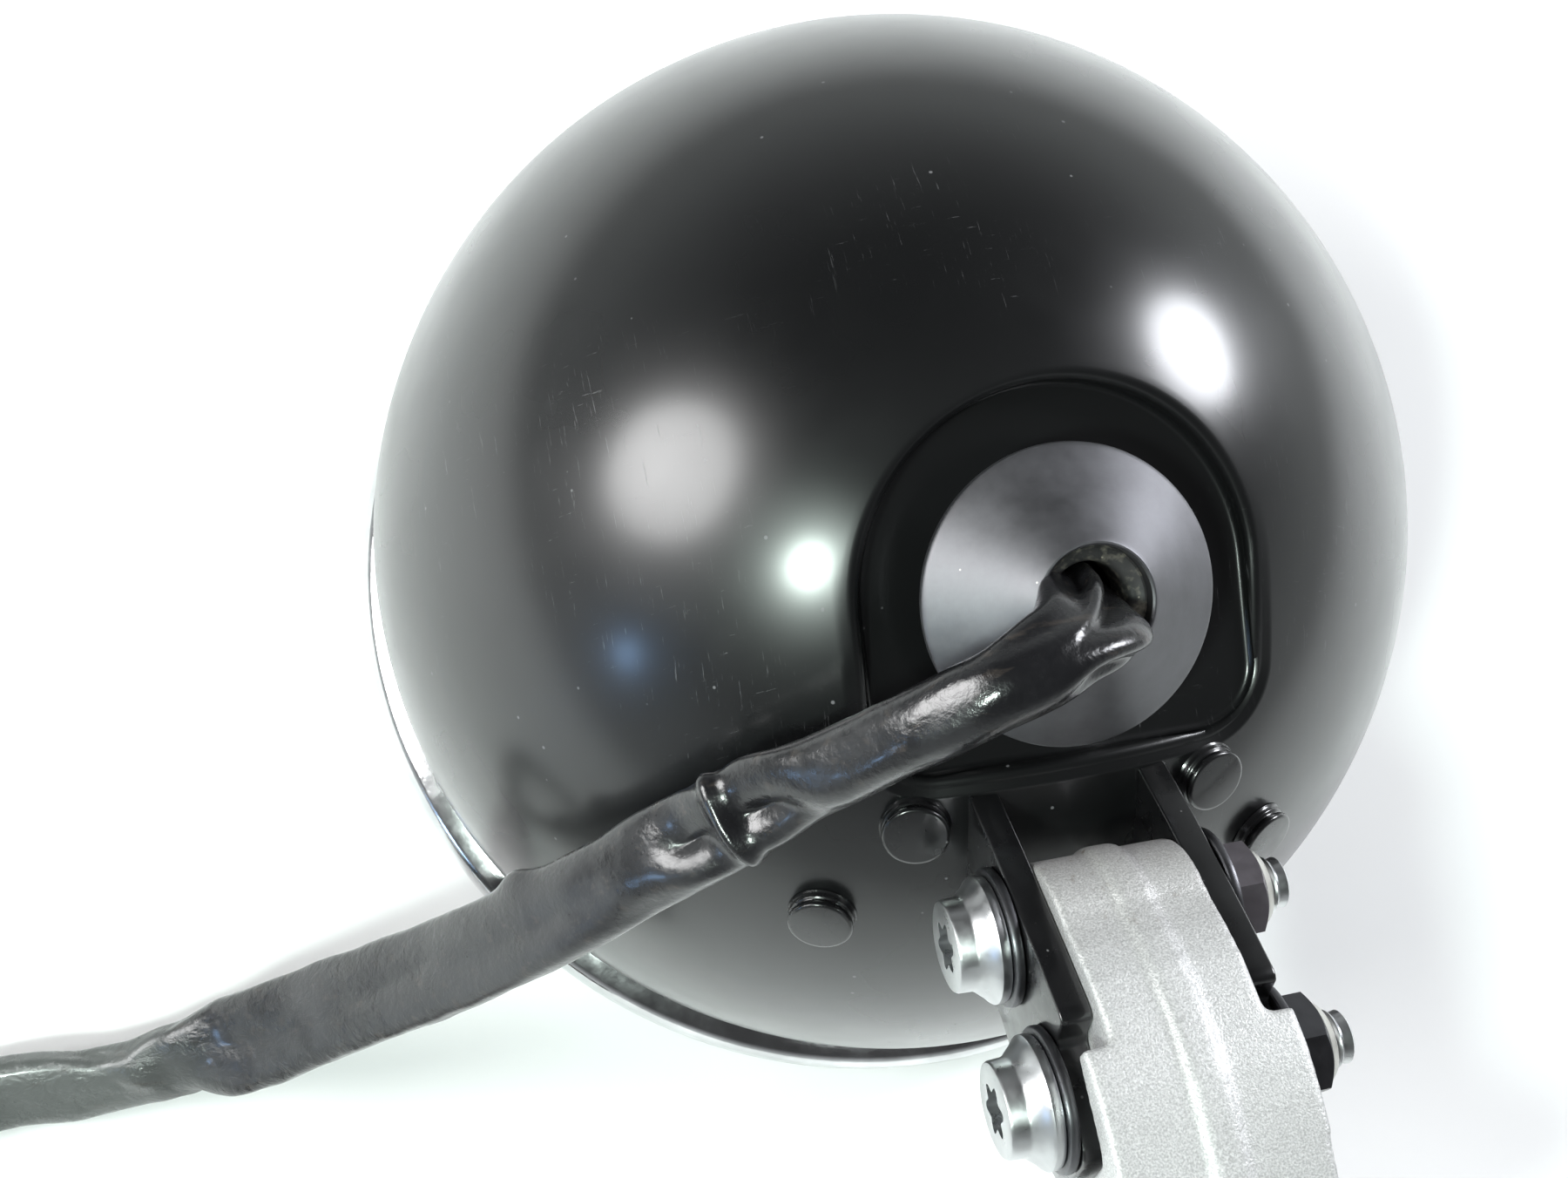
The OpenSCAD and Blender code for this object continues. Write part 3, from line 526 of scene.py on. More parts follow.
PAINT = gloss_black_paint()
STEEL_PAINT = black_steel_paint()
TURNED = turned_aluminium()
CAST = cast_aluminium()
ZINC = plated("bright_zinc", (0.7, 0.71, 0.72), 0.3)
GREY_ZINC = plated("grey_zinc", (0.36, 0.33, 0.36), 0.34)
PALE_ZINC = plated("pale_zinc", (0.62, 0.61, 0.57), 0.36)
DARK_STEEL = plated("dark_steel", (0.16, 0.16, 0.17), 0.36)
CHROME = plated("chrome", (0.86, 0.87, 0.88), 0.14, 0.05)
BEZEL_CHROME = plated("bright_bezel", (0.8, 0.81, 0.82), 0.12, 0.05)
VINYL = black_vinyl()
RUBBER = moulded("black_rubber", (0.016, 0.016, 0.016), 0.62, 0.7, 0.4)
PLASTIC = moulded("black_plastic", (0.012, 0.012, 0.013), 0.42)
RED_PLASTIC = moulded("red_plastic", (0.3, 0.014, 0.01), 0.38)
SINK_BLACK = plated("black_heat_sink", (0.05, 0.052, 0.055), 0.45)
LENS_GLASS = clear_plastic()
GUIDE = glowing_guide()
BOARD = circuit_board()
LED_YELLOW = moulded("led_phosphor", (0.75, 0.56, 0.1), 0.35)
BRASS = plated("brass_contact", (0.72, 0.53, 0.24), 0.25)


# ---- camera, floor and light, in metres ----

VIEW_LENS = 40.8
VIEW_PLACE = (-0.08415, -0.07737, 0.36409)
VIEW_RIGHT = (0.97085, -0.18823, 0.14836)
VIEW_UP = (0.15009, 0.9601, 0.23599)
VIEW_BACK = (-0.18686, -0.20683, 0.96037)

WHITE = (1, 1, 1)
# Name, direction, distance, diameter, watts, colour, and the spot on the lamp that it faces
LIGHTS = [
    ("left_window", (-0.84, 0.17, 0.52), 1.0, 0.5, 8.5, WHITE, (-0.05, -0.006, 0.123)),
    ("left_lamp", (-0.55, -0.31, 0.78), 1.0, 0.14, 7, (0.86, 1, 0.93), (-0.034, -0.024, 0.128)),
    ("right_window", (0.84, 0.25, 0.48), 1.0, 0.36, 8.5, (0.93, 0.95, 1), (0.026, -0.002, 0.135)),
    ("blue_lamp", (-0.94, -0.31, 0.17), 1.0, 0.1, 0.45, (0.35, 0.6, 1), (-0.059, -0.029, 0.11)),
]
CEILING = ("ceiling", (-0.1, -0.2, 0.95), 1.6, 2.2, 15, WHITE, (0, 0, 0.1))
# Tone of the surroundings at each height of the direction looked in, from level to upwards
WALLS = [
    (0.0, (0.54, 0.57, 0.57)), (0.12, (0.49, 0.52, 0.52)), (0.32, (0.27, 0.28, 0.285)),
    (0.62, (0.05, 0.05, 0.052)),
]


def camera():
    """The viewer's place: above the lamp's rear, a little towards the arm and the sleeve."""
    view = bpy.data.cameras.new("viewer")
    view.sensor_width = 36
    view.lens = VIEW_LENS
    view.clip_start = 0.01
    stand = linked("viewer", view)
    place = Matrix((VIEW_RIGHT, VIEW_UP, VIEW_BACK)).transposed().to_4x4()
    place.translation = VIEW_PLACE
    stand.matrix_world = place
    bpy.context.scene.camera = stand


def floor():
    """The white table."""
    deselect()
    bpy.ops.mesh.primitive_plane_add(size=8, location=(0, 0, 0))
    table = bpy.context.object
    table.name = "table_top"
    white = Finish("white_table", (0.86, 0.87, 0.865), 0.5)
    white.use("Base Color", white.blend(white.grain(3, 3), (0.84, 0.85, 0.845), (0.88, 0.89, 0.885)))
    white.set("Specular IOR Level", 0.25)
    table.data.materials.append(white.material)
    deselect()


def soft_light(name, towards, distance, size, power, colour, spot):
    """A soft round light in a direction from a spot on the lamp, facing it."""
    lamp = bpy.data.lights.new(name, "AREA")
    lamp.shape = "DISK"
    lamp.size = size
    lamp.energy = power
    lamp.color = colour
    holder = linked(name, lamp)
    direction = Vector(towards).normalized()
    holder.location = Vector(spot) + direction * distance
    holder.rotation_mode = "QUATERNION"
    holder.rotation_quaternion = direction.to_track_quat("Z", "Y")
    holder.visible_camera = False
    return holder


def studio():
    """White walls low down, a dark ceiling, and soft lights at the sides."""
    world = bpy.data.worlds.new("studio")
    bpy.context.scene.world = world
    world.use_nodes = True
    tree = world.node_tree
    background = tree.nodes["Background"]
    place = tree.nodes.new("ShaderNodeTexCoord")
    parts = tree.nodes.new("ShaderNodeSeparateXYZ")
    ramp = tree.nodes.new("ShaderNodeValToRGB")
    tree.links.new(place.outputs["Generated"], parts.inputs[0])
    tree.links.new(parts.outputs[2], ramp.inputs[0])
    tree.links.new(ramp.outputs[0], background.inputs[0])
    stops = ramp.color_ramp.elements
    stops[1].position = WALLS[-1][0]
    for height, _ in WALLS[1:-1]:
        stops.new(height)
    for stop, (_, tone) in zip(stops, WALLS):
        stop.color = (*tone, 1)
    background.inputs[1].default_value = 1.0
    for light in LIGHTS:
        soft_light(*light)
    soft_light(*CEILING).visible_glossy = False
    bpy.context.scene.view_settings.view_transform = "Standard"
    bpy.context.scene.view_settings.exposure = 0.0


# ---- wiring sleeve ----

# Distance along the sleeve, half its width, half its height, and its turn in degrees
SLEEVE_SECTIONS = [
    (0, 4.9, 4.7, 0), (8, 4.9, 4.2, 0), (14, 6.4, 3.4, 6), (20, 7.2, 3.4, 10), (29, 6.0, 4.0, 6),
    (38, 5.2, 5.0, 0), (55, 5.0, 4.9, 0), (70, 5.5, 4.5, -4), (80, 6.4, 3.9, -8),
    (86, 7.0, 3.6, -12), (92, 6.8, 3.6, -4), (104, 6.9, 3.6, 0), (130, 7.5, 3.3, 3),
    (160, 8.0, 3.0, 4), (190, 8.6, 2.8, 2), (212, 9.0, 2.7, -6), (226, 7.4, 3.0, -22),
    (236, 6.6, 3.4, -38), (250, 7.2, 3.4, -30), (275, 6.8, 3.6, -15), (310, 6.2, 4.2, 0),
    (350, 5.6, 4.8, 0), (372, 5.2, 5.2, 0), (400, 5.2, 5.2, 0),
]
# Folds: distance along, angle round from the top, reach along, reach round, depth, slant
SLEEVE_FOLDS = [
    (16, -12, 9, 10, 1.3, -0.2), (16, -42, 6, 15, -2.4, -0.2), (15, -80, 6, 20, 1.0, 0.0),
    (19, 16, 8, 14, -1.9, 0.0), (20, 58, 7, 26, 1.5, 0.3), (27, 80, 4, 20, -1.4, 0.0),
    (31, -30, 8, 18, -0.8, 0.2), (36, 40, 10, 20, -0.5, 0.0),
    (76, 28, 6.5, 30, -3.2, 0.4), (83.5, 0, 1.7, 80, 2.6, 0.55), (90, 22, 5, 34, -3.4, 0.55),
    (84, -80, 3.2, 22, -1.8, 0.0), (92, -34, 6, 22, -1.4, 0.3), (98, -60, 8, 24, 0.8, 0.0),
    (74, -50, 8, 24, 0.9, 0.3), (104, 60, 9, 24, -0.9, 0.0),
    (118, 20, 12, 30, -0.7, 0.2), (128, -62, 4, 24, 1.5, 0.0), (141, 30, 14, 34, -0.6, 0.0),
    (168, -20, 16, 40, -0.7, 0.0), (196, 35, 14, 36, -0.8, 0.3), (214, -30, 8, 40, -1.0, 0.5),
    (226, 60, 6, 40, -1.8, 0.8), (233, -10, 5, 34, 1.3, 0.6), (240, -70, 8, 40, -1.4, 0.5),
    (262, 30, 14, 30, -0.8, 0.0), (300, -40, 12, 40, -0.8, 0.2), (332, 20, 12, 40, -0.7, 0.2),
]
RING_STEP = 0.8
RING_SIDES = 72
UPRIGHT_AT = 150
BOOT_AT = 366
GLAND_END = 8


def smooth_route():
    """The route as a smooth line with a point every ring step."""
    points = [Vector(p) for p in ROUTE]
    fine = []
    for i in range(len(points) - 1):
        before, here = points[max(i - 1, 0)], points[i]
        there, after = points[i + 1], points[min(i + 2, len(points) - 1)]
        steps = max(2, round((there - here).length / RING_STEP))
        for k in range(steps):
            t = k / steps
            fine.append(0.5 * (
                2 * here + (there - before) * t + (2 * before - 5 * here + 4 * there - after) * t * t
                + (3 * here - before - 3 * there + after) * t ** 3
            ))
    return [*fine, points[-1]]


def section_at(run):
    """Half width, half height and turn of the sleeve at a distance along it."""
    for low, high in zip(SLEEVE_SECTIONS, SLEEVE_SECTIONS[1:]):
        if run <= high[0]:
            share = eased((run - low[0]) / (high[0] - low[0]))
            return [mixed(a, b, share) for a, b in zip(low[1:], high[1:])]
    return SLEEVE_SECTIONS[-1][1:]


def fold_depth(run, angle):
    """How far the folds push the sleeve's skin out at a place."""
    total = 0
    for at, middle, reach, spread, depth, slant in SLEEVE_FOLDS:
        off = run - at
        if abs(off) > 3.5 * reach:
            continue
        round_off = (degrees(angle) - 90 - middle + 180 + slant * off * 8) % 360 - 180
        if abs(round_off) < 3.5 * spread:
            total += depth * exp(-((off / reach) ** 2) - (round_off / spread) ** 2)
    return total


def sleeve_frames(route):
    """Distance along, direction and untwisted side of the sleeve at each point."""
    runs = [0]
    for a, b in zip(route, route[1:]):
        runs.append(runs[-1] + (b - a).length)
    last = len(route) - 1
    ways = [(route[min(i + 1, last)] - route[max(i - 1, 0)]).normalized() for i in range(last + 1)]
    start = min(range(len(runs)), key=lambda i: abs(runs[i] - UPRIGHT_AT))
    sides = [None] * len(route)
    sides[start] = ways[start].cross(Vector((0, 0, 1))).normalized()
    for order in (range(start + 1, last + 1), range(start - 1, -1, -1)):
        side = sides[start]
        for i in order:
            side = (side - ways[i] * side.dot(ways[i])).normalized()
            sides[i] = side
    return runs, ways, sides


def skin_push(run, angle):
    """How far the skin stands out from its section: folds, ripples and a fine unevenness."""
    c, s = cos(angle), sin(angle)
    push = fold_depth(run, angle)
    ripple = noise.noise(Vector((run * 0.11, c * 0.9, s * 0.9)))
    fine = noise.noise(Vector((run * 0.32, c * 2.2, s * 2.2)))
    push += 0.3 * ripple + 0.07 * fine
    return push * 0.15 if run < GLAND_END or run > BOOT_AT else push


def sleeve(route):
    """The sleeve: a soft tube that its bends and its weight have flattened and folded."""
    runs, ways, sides = sleeve_frames(route)
    shape = bmesh.new()
    rings = []
    uv_layer = shape.loops.layers.uv.new("UVMap")
    for run, point, way, side in zip(runs, route, ways, sides):
        width, height, turn = section_at(run)
        side = Matrix.Rotation(radians(turn), 3, way) @ side
        up = side.cross(way).normalized()
        ring = []
        for k in range(RING_SIDES):
            a = TURN * k / RING_SIDES
            crisp = 1 + 0.12 * abs(sin(2 * a)) ** 2
            flat = Vector((cos(a) * width, sin(a) * height)) * crisp
            flat += flat.normalized() * skin_push(run, a)
            spot = point + side * flat[0] + up * flat[1]
            lift = noise.noise(Vector((run * 0.2, a, 3)))
            spot.z = max(spot.z, 0.25 + 0.35 * (1 + lift) * 0.5)
            ring.append(shape.verts.new(spot))
        rings.append(ring)
    for i, k, face in bands(shape, rings):
        spots = [(i, k), (i + 1, k), (i + 1, k + 1), (i, k + 1)]
        for corner, (row, column) in zip(face.loops, spots):
            corner[uv_layer].uv = (runs[row] / runs[-1], column / RING_SIDES)
    shape.faces.new(rings[0])
    shape.faces.new(rings[-1][::-1])
    bmesh.ops.recalc_face_normals(shape, faces=shape.faces)
    data = bpy.data.meshes.new("wiring_sleeve")
    shape.to_mesh(data)
    shape.free()
    piece = linked("wiring_sleeve", data)
    finished(piece, Matrix.Identity(4), "lamp", VINYL, 70)
    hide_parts("sleeve")
    return piece


# ---- plug ----

def plug_boot():
    """Ribbed rubber boot where the sleeve enters the plug."""
    length = PLUG[0] - BOOT_X
    small, large = SLEEVE_R + 1.6, PLUG_SIZE[2] / 2 - 1.2
    outline = [(SLEEVE_R + 0.15, 0), (small - 0.4, 0), (small, 0.4)]
    for i in range(5):
        at = 2.2 + i * 2.6
        r = mixed(small, large, at / length)
        outline += [(r, at), (r - 0.8, at + 0.35), (r - 0.8, at + 1.15), (r + 0.15, at + 1.5)]
    outline += [(large, length - 2.6), (large, length - 0.1), (SLEEVE_R + 0.15, length - 0.1)]
    piece = turned("plug_boot_ribbed", outline, 64)
    place = Matrix.Translation((BOOT_X, PLUG[1], PLUG_SIZE[2] / 2))
    finished(piece, place @ Matrix.Rotation(pi / 2, 4, "Y"), "lamp", RUBBER)
    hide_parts("plug_boot")
    return piece


def plug_body():
    """Square connector housing with a mouth, side ribs and keyways."""
    long, wide, high = PLUG_SIZE
    deselect()
    bpy.ops.mesh.primitive_cube_add(size=1, location=(0, 0, 0))
    piece = bpy.context.object
    piece.name = piece.data.name = "plug_housing"
    middle = Matrix.Translation((long / 2, 0, high / 2))
    moved(piece, middle @ Matrix.Diagonal((long, wide, high, 1)))
    bpy.ops.object.mode_set(mode="EDIT")
    bpy.ops.mesh.select_all(action="DESELECT")
    shape = bmesh.from_edit_mesh(piece.data)
    for face in shape.faces:
        face.select = face.normal.x > 0.9
    bmesh.update_edit_mesh(piece.data)
    bpy.ops.mesh.inset(thickness=1.6)
    bpy.ops.mesh.extrude_region_move(TRANSFORM_OT_translate={"value": (-14, 0, 0)})
    close_up()
    rounded(piece, 0.7, 3)
    for side in (-1, 1):
        for i in range(4):
            x0, x1 = 4 + i * 4, 5.6 + i * 4
            rib = slab(f"rib_{side}_{i}", [(x0, 2.5), (x1, 2.5), (x1, 13), (x0, 13)], -0.35, 0.35)
            rounded(rib, 0.2, 2)
            place = Matrix.Translation((0, side * wide / 2, 1.2))
            moved(rib, place @ UPRIGHT)
            combined(piece, rib, "UNION")
    for y in (-6, 0, 6):
        y0, y1 = y - 0.9, y + 0.9
        key = slab(f"key_{y}", [(26, y0), (34.4, y0), (34.4, y1), (26, y1)], -0.2, 0.5)
        combined(piece, key, "DIFFERENCE")
    finished(piece, Matrix.Translation(PLUG), "lamp", PLASTIC, 30)
    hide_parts("plug_body")
    return piece


def plug_lock():
    """Red locking slide with a thumb ridge."""
    outline = [
        (0.4, 0), (13.6, 0), (13.6, 1.4), (13, 1.4), (12.4, 3), (10.8, 3), (10, 1.4),
        (7.6, 1.4), (7.2, 1.0), (6.6, 1.0), (6.2, 1.4), (4.8, 1.4), (4.4, 1.0), (3.8, 1.0),
        (3.4, 1.4), (0.4, 1.4),
    ]
    piece = rounded(slab("plug_lock_slide", outline, -4, 4), 0.22, 2)
    moved(piece, UPRIGHT)
    place = Matrix.Translation((PLUG[0] + 8, PLUG[1], PLUG_SIZE[2] + 0.02))
    finished(piece, place, "lamp", RED_PLASTIC, 30)
    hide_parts("plug_lock")
    return piece


camera()
floor()
studio()
line = smooth_route()
skin = sleeve(line)
ends = [plug_boot(), plug_body(), plug_lock(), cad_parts["plug_terminals"]]
run_length = sum((b - a).length for a, b in zip(line, line[1:]))
[c * MM for c in ROUTE[0]]
[[c * MM for c in p] for p in line]


# ---- shell ----

COLUMNS = 288
POCKET_TURN = Matrix.Rotation(GLAND_TILT, 3, "X")
LIP_R = 2.2
FILLET_R = 1.0
DOME_RINGS = 78
EDGE_DROPS = (0.6, 1.6, 2.8, 4.0)


def dome_radius(way):
    """Distance from the dome's centre to its surface along a unit direction."""
    level = max(-1, min(1, way[2]))
    out = sqrt(max(0, 1 - level * level))
    join_out = -SIDE_OFFSET + SIDE_ARC_R * sin(CROWN_ANGLE)
    if acos(level) < atan2(join_out, SIDE_ARC_R * cos(CROWN_ANGLE)):
        return level * CROWN_RISE + sqrt(CROWN_R ** 2 - (CROWN_RISE * out) ** 2)
    side = SIDE_OFFSET * out
    return -side + sqrt(side ** 2 + SIDE_ARC_R ** 2 - SIDE_OFFSET ** 2)


def pocket_radius(a, grow):
    """Distance from the gland's axis to the pocket's outline at an angle."""
    c, s = cos(a), sin(a)
    corner_x, corner_y = POCKET_R - POCKET_CORNER_R, POCKET_EDGE - POCKET_CORNER_R
    if s >= 0:
        return POCKET_R + grow
    side = (POCKET_R + grow) / max(abs(c), 1e-9)
    if side * abs(s) <= corner_y:
        return side
    edge = (POCKET_EDGE + grow) / abs(s)
    if edge * abs(c) <= corner_x:
        return edge
    along = corner_x * abs(c) + corner_y * abs(s)
    return along + sqrt(along ** 2 - corner_x ** 2 - corner_y ** 2 + (POCKET_CORNER_R + grow) ** 2)


def shifted(x, y):
    """A place round the pocket's middle, brought back to the gland's axis close to it."""
    return x + POCKET_X * eased((hypot(x, y) - 9) / 11), y


def dome_height(x, y):
    """Height of the crown over the dome's centre along the gland's axis, at a place across it."""
    shift_y, shift_z = CROWN_RISE * sin(GLAND_TILT), CROWN_RISE * cos(GLAND_TILT)
    return shift_z + sqrt(CROWN_R ** 2 - x * x - (y - shift_y) ** 2)


def pocket_ring(radius_of, height_of):
    """A ring round the pocket, from its radius at an angle and its height at a place."""
    ring = []
    for k in range(COLUMNS):
        a = TURN * k / COLUMNS
        r = radius_of(a)
        x, y = shifted(r * cos(a), r * sin(a))
        ring.append(POCKET_TURN @ Vector((x, y, height_of(x, y))))
    return ring


def pocket_rings():
    """The pocket's floor from its hole outwards, its fillet, its wall, and the rounded lip."""
    floors = [(lambda a, r=r: r, 0) for r in (8.3, 11, 14, 17, 20)]
    for share in (0.3, 0.6, 0.85):
        floors.append((lambda a, s=share: mixed(20, pocket_radius(a, -FILLET_R), s), 0))
    for i in range(5):
        b = i / 4 * pi / 2
        grow, rise = -FILLET_R + FILLET_R * sin(b), FILLET_R * (1 - cos(b))
        floors.append((lambda a, g=grow: pocket_radius(a, g), rise))
    rings = [pocket_ring(radius_of, lambda x, y: FLOOR_D + rise) for radius_of, rise in floors]
    for i in range(10):
        b = i / 9 * pi / 2
        grow, drop = LIP_R * (1 - cos(b)), LIP_R * (1 - sin(b))
        rings.append(pocket_ring(
            lambda a: pocket_radius(a, grow), lambda x, y: dome_height(x, y) - drop))
    return rings


def dome_rings(starts):
    """Rings from the lip down to the shell's edge, on a dome with slight waves."""
    edge_z = SHELL_EDGE_H - DOME_H
    axis = POCKET_TURN @ Vector((0, 0, 1))
    columns = []
    for start in starts:
        out = (start - axis * start.dot(axis)).normalized()
        first = low = acos(start.normalized().dot(axis))
        high = pi * 0.8
        for _ in range(50):
            middle = (low + high) / 2
            way = axis * cos(middle) + out * sin(middle)
            if way[2] * dome_radius(way) > edge_z:
                low = middle
            else:
                high = middle
        columns.append((out, first, (low + high) / 2))
    rings = []
    for i in range(1, DOME_RINGS + 1):
        share = i / DOME_RINGS
        share = mixed(share, share ** 1.5, 0.6)
        fade = eased(share * 5) * eased((1 - share) * 5)
        ring = []
        for out, first, last in columns:
            a = mixed(first, last, share)
            way = axis * cos(a) + out * sin(a)
            wave = noise.noise(way * 2.3) * 0.35 + noise.noise(way * 6) * 0.05
            ring.append(way * (dome_radius(way) + (wave - 0.2) * 0.5 * fade))
        rings.append(ring)
    for drop in EDGE_DROPS:
        rings.append([
            Vector((p.x, p.y, 0)).normalized() * (SHELL_EDGE_R - drop) + Vector((0, 0, edge_z))
            for p in rings[DOME_RINGS - 1]
        ])
    return rings


def shell():
    """The pressed dome, with the gland's pocket and a turned-in edge."""
    rings = pocket_rings()
    rings += dome_rings(rings[-1])
    piece = loop_of("shell_dome", rings[0])
    bpy.ops.object.mode_set(mode="OBJECT")
    shape = bmesh.new()
    list(bands(shape, [[shape.verts.new(p) for p in ring] for ring in rings]))
    bmesh.ops.recalc_face_normals(shape, faces=shape.faces)
    shape.to_mesh(piece.data)
    shape.free()
    modify(piece, "SOLIDIFY", thickness=SHELL_WALL, offset=-1)
    finished(piece, AT_DOME, "lamp", PAINT, 80)
    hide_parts("shell")


def rivets():
    """Flat-headed rivets with a stepped edge, four of them; the design's own rivets are hidden when the
    first one is made.
    """
    outline = [
        (0, 2.55), (4.4, 2.6), (4.72, 2.54), (4.92, 2.38), (5, 2.1), (4.98, 1.7), (4.86, 1.5),
        (4.6, 1.38), (4.52, 1.2), (4.6, 1.02), (4.84, 0.9), (4.98, 0.7), (4.96, 0.35),
        (5.12, 0.12), (5.3, -0.12), (2.2, -0.3), (2.2, -4.3), (3.3, -4.4), (3.3, -5.8),
        (3.0, -6.1), (0, -6.1),
    ]
    for side, name in ((-1, "left"), (1, "right")):
        for azimuth, polar in RIVETS:
            piece = turned(f"rivet_{name}_{polar}", outline, 64, closed=False)
            finished(piece, on_side(side * azimuth, polar), "lamp", STEEL_PAINT, 40)
            if (side, azimuth) == (-1, RIVETS[0][0]):
                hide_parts("rivets")


# ---- cable gland ----

def gland_collar():
    """Spacer between the pocket's floor and the cap."""
    collar = turned("gland_spacer", [
        (8.1, FLOOR_D), (14.6, FLOOR_D), (15, FLOOR_D + 0.4), (15, CAP_D - 0.5),
        (14.6, CAP_D - 0.1), (8.1, CAP_D - 0.1),
    ], 96)
    finished(collar, AT_GLAND, "lamp", STEEL_PAINT)
    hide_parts("gland_collar")


def gland_cap():
    """Turned conical cap with a rounded edge and a mouth for the sleeve."""
    edge = 0.35
    shoulder_r, shoulder_d = CAP_R - 0.22, CONE_D + 0.12
    slope = atan2(10.2, CAP_R - CAP_MOUTH_R - 0.4)
    cap = turned("turned_cable_cap", [
        (5.8, CAP_D - 19), (8, CAP_D - 19), (8, CAP_D), (CAP_R - edge, CAP_D),
        (CAP_R - 0.1, CAP_D + 0.1), (CAP_R, CAP_D + edge), (CAP_R, CONE_D - edge),
        (CAP_R - 0.06, CONE_D - 0.1), (shoulder_r, shoulder_d),
        (shoulder_r - 0.5 * cos(slope), shoulder_d + 0.5 * sin(slope)),
        (14.6, mixed(CONE_D, MOUTH_D, 0.5)), (9.1, MOUTH_D - 0.62), (8.65, MOUTH_D - 0.2),
        (8.4, MOUTH_D - 0.04), (8.15, MOUTH_D - 0.02), (CAP_MOUTH_R, MOUTH_D - 0.25),
        (CAP_MOUTH_R, SEAT_D), (5.8, SEAT_D),
    ], 192)
    wrap_round(cap)
    finished(cap, AT_GLAND, "lamp", TURNED, 28)
    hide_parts("gland_cap")


def gland_ring():
    """Rubber ring round the sleeve in the cap's mouth."""
    ring = turned("rubber_ring", [
        (5.45, SEAT_D), (7.85, SEAT_D), (7.85, SEAT_D + 6.6), (7.5, SEAT_D + 6.7),
        (7.1, SEAT_D + 6.3), (6.3, SEAT_D + 6.15), (5.8, SEAT_D + 5.9), (5.5, SEAT_D + 5.2),
    ], 96)
    finished(ring, AT_GLAND, "lamp", RUBBER, 60)
    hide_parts("gland_grommet")


def wrap_round(piece):
    """A map whose first axis runs round the piece's z axis, and whose second runs outwards."""
    layer = piece.data.uv_layers.new(name="UVMap")
    for face in piece.data.polygons:
        middle = atan2(face.center.y, face.center.x)
        for corner in face.loop_indices:
            spot = piece.data.vertices[piece.data.loops[corner].vertex_index].co
            a = middle + (atan2(spot.y, spot.x) - middle + pi) % TURN - pi
            layer.data[corner].uv = (a / TURN + 0.5, (hypot(spot.x, spot.y) + spot.z * 0.3) / 60)


# ---- bracket ----

def cheek(side):
    """One lacquered cheek with rounded edges, and its notch behind the clamp bolt."""
    notch, bolt_u, low = BOLT_PITCH - 5.6, BOLT_PITCH, -CHEEK_HALF_W
    outline = [
        (-36, 3.2), (-24, 3.2), (-17.4, 5.1), (-9, 7.5), (-0.5, 9.5), (8, 11.4),
        (notch - 2.2, 12.9), (notch - 1.5, 13), (notch - 0.6, 12.9), (notch, 12.4),
        (notch + 0.3, 10.4), (notch + 0.6, 8.4), (notch + 1.4, 7.5), (notch + 2.6, 7.2),
        (bolt_u + 8.5, 4.4), (bolt_u + 9.6, 3.2), (bolt_u + 10, 1.5), (bolt_u + 10, low + 5),
        (bolt_u + 9.2, low + 3.2), (bolt_u + 5, low + 0.5), (bolt_u + 3, low), (6, low),
        (-2, low - 8), (-36, -33),
    ]
    inner = HALF_GAP if side > 0 else -HALF_GAP - CHEEK_T
    name = "right" if side > 0 else "left"
    piece = rounded(slab(f"cheek_{name}", outline, inner, inner + CHEEK_T), 0.45, 4, 25)
    finished(piece, AT_PIVOT, "lamp", STEEL_PAINT, 40)
    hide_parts(f"bracket_{name}")
    inner_flange(side, name)


def inner_flange(side, name):
    """The cheek's flange, riveted inside the shell."""
    flange = turned(f"inner_flange_{name}", [
        (-SIDE_OFFSET + r * sin(a), r * cos(a))
        for r, angles in (
            (SIDE_ARC_R - 1.52, [radians(41 + 2.2 * i) for i in range(10)]),
            (SIDE_ARC_R - 4.02, [radians(60.8 - 2.2 * i) for i in range(10)]),
        )
        for a in angles
    ], 18, angle=radians(23))
    start = 10 if side > 0 else -33
    moved(flange, Matrix.Rotation(radians(start - 90), 4, "Z"))
    finished(flange, AT_DOME, "lamp", STEEL_PAINT, 40)


# ---- arm ----

FOOT_U = ARM_REACH * cos(ARM_SLOPE) + FOOT_RISE * sin(ARM_SLOPE)
FOOT_V = FOOT_RISE * cos(ARM_SLOPE) - ARM_REACH * sin(ARM_SLOPE)
BEAM_U = BOLT_PITCH + 11.4
RIB_RISE = 0.75
# The arm's rear edge, which faces away from the dome, from its round end to its foot
ARM_REAR = [
    *((SHOULDER_U + u, v) for u, v in (
        (-15.6, 13.4), (-13, 14.3), (-8, 15.5), (-3.6, 15.85), (0, 15.9), (3.6, 15.8), (7, 15.4),
        (11, 14.4), (15, 13.1), (19.6, 11.4), (24, 9.4), (32, 4.5),
    )),
    (FOOT_U - 20, FOOT_V + 15.6), (FOOT_U - 11.3, FOOT_V + 4.2), (FOOT_U - 2, FOOT_V - 1),
]


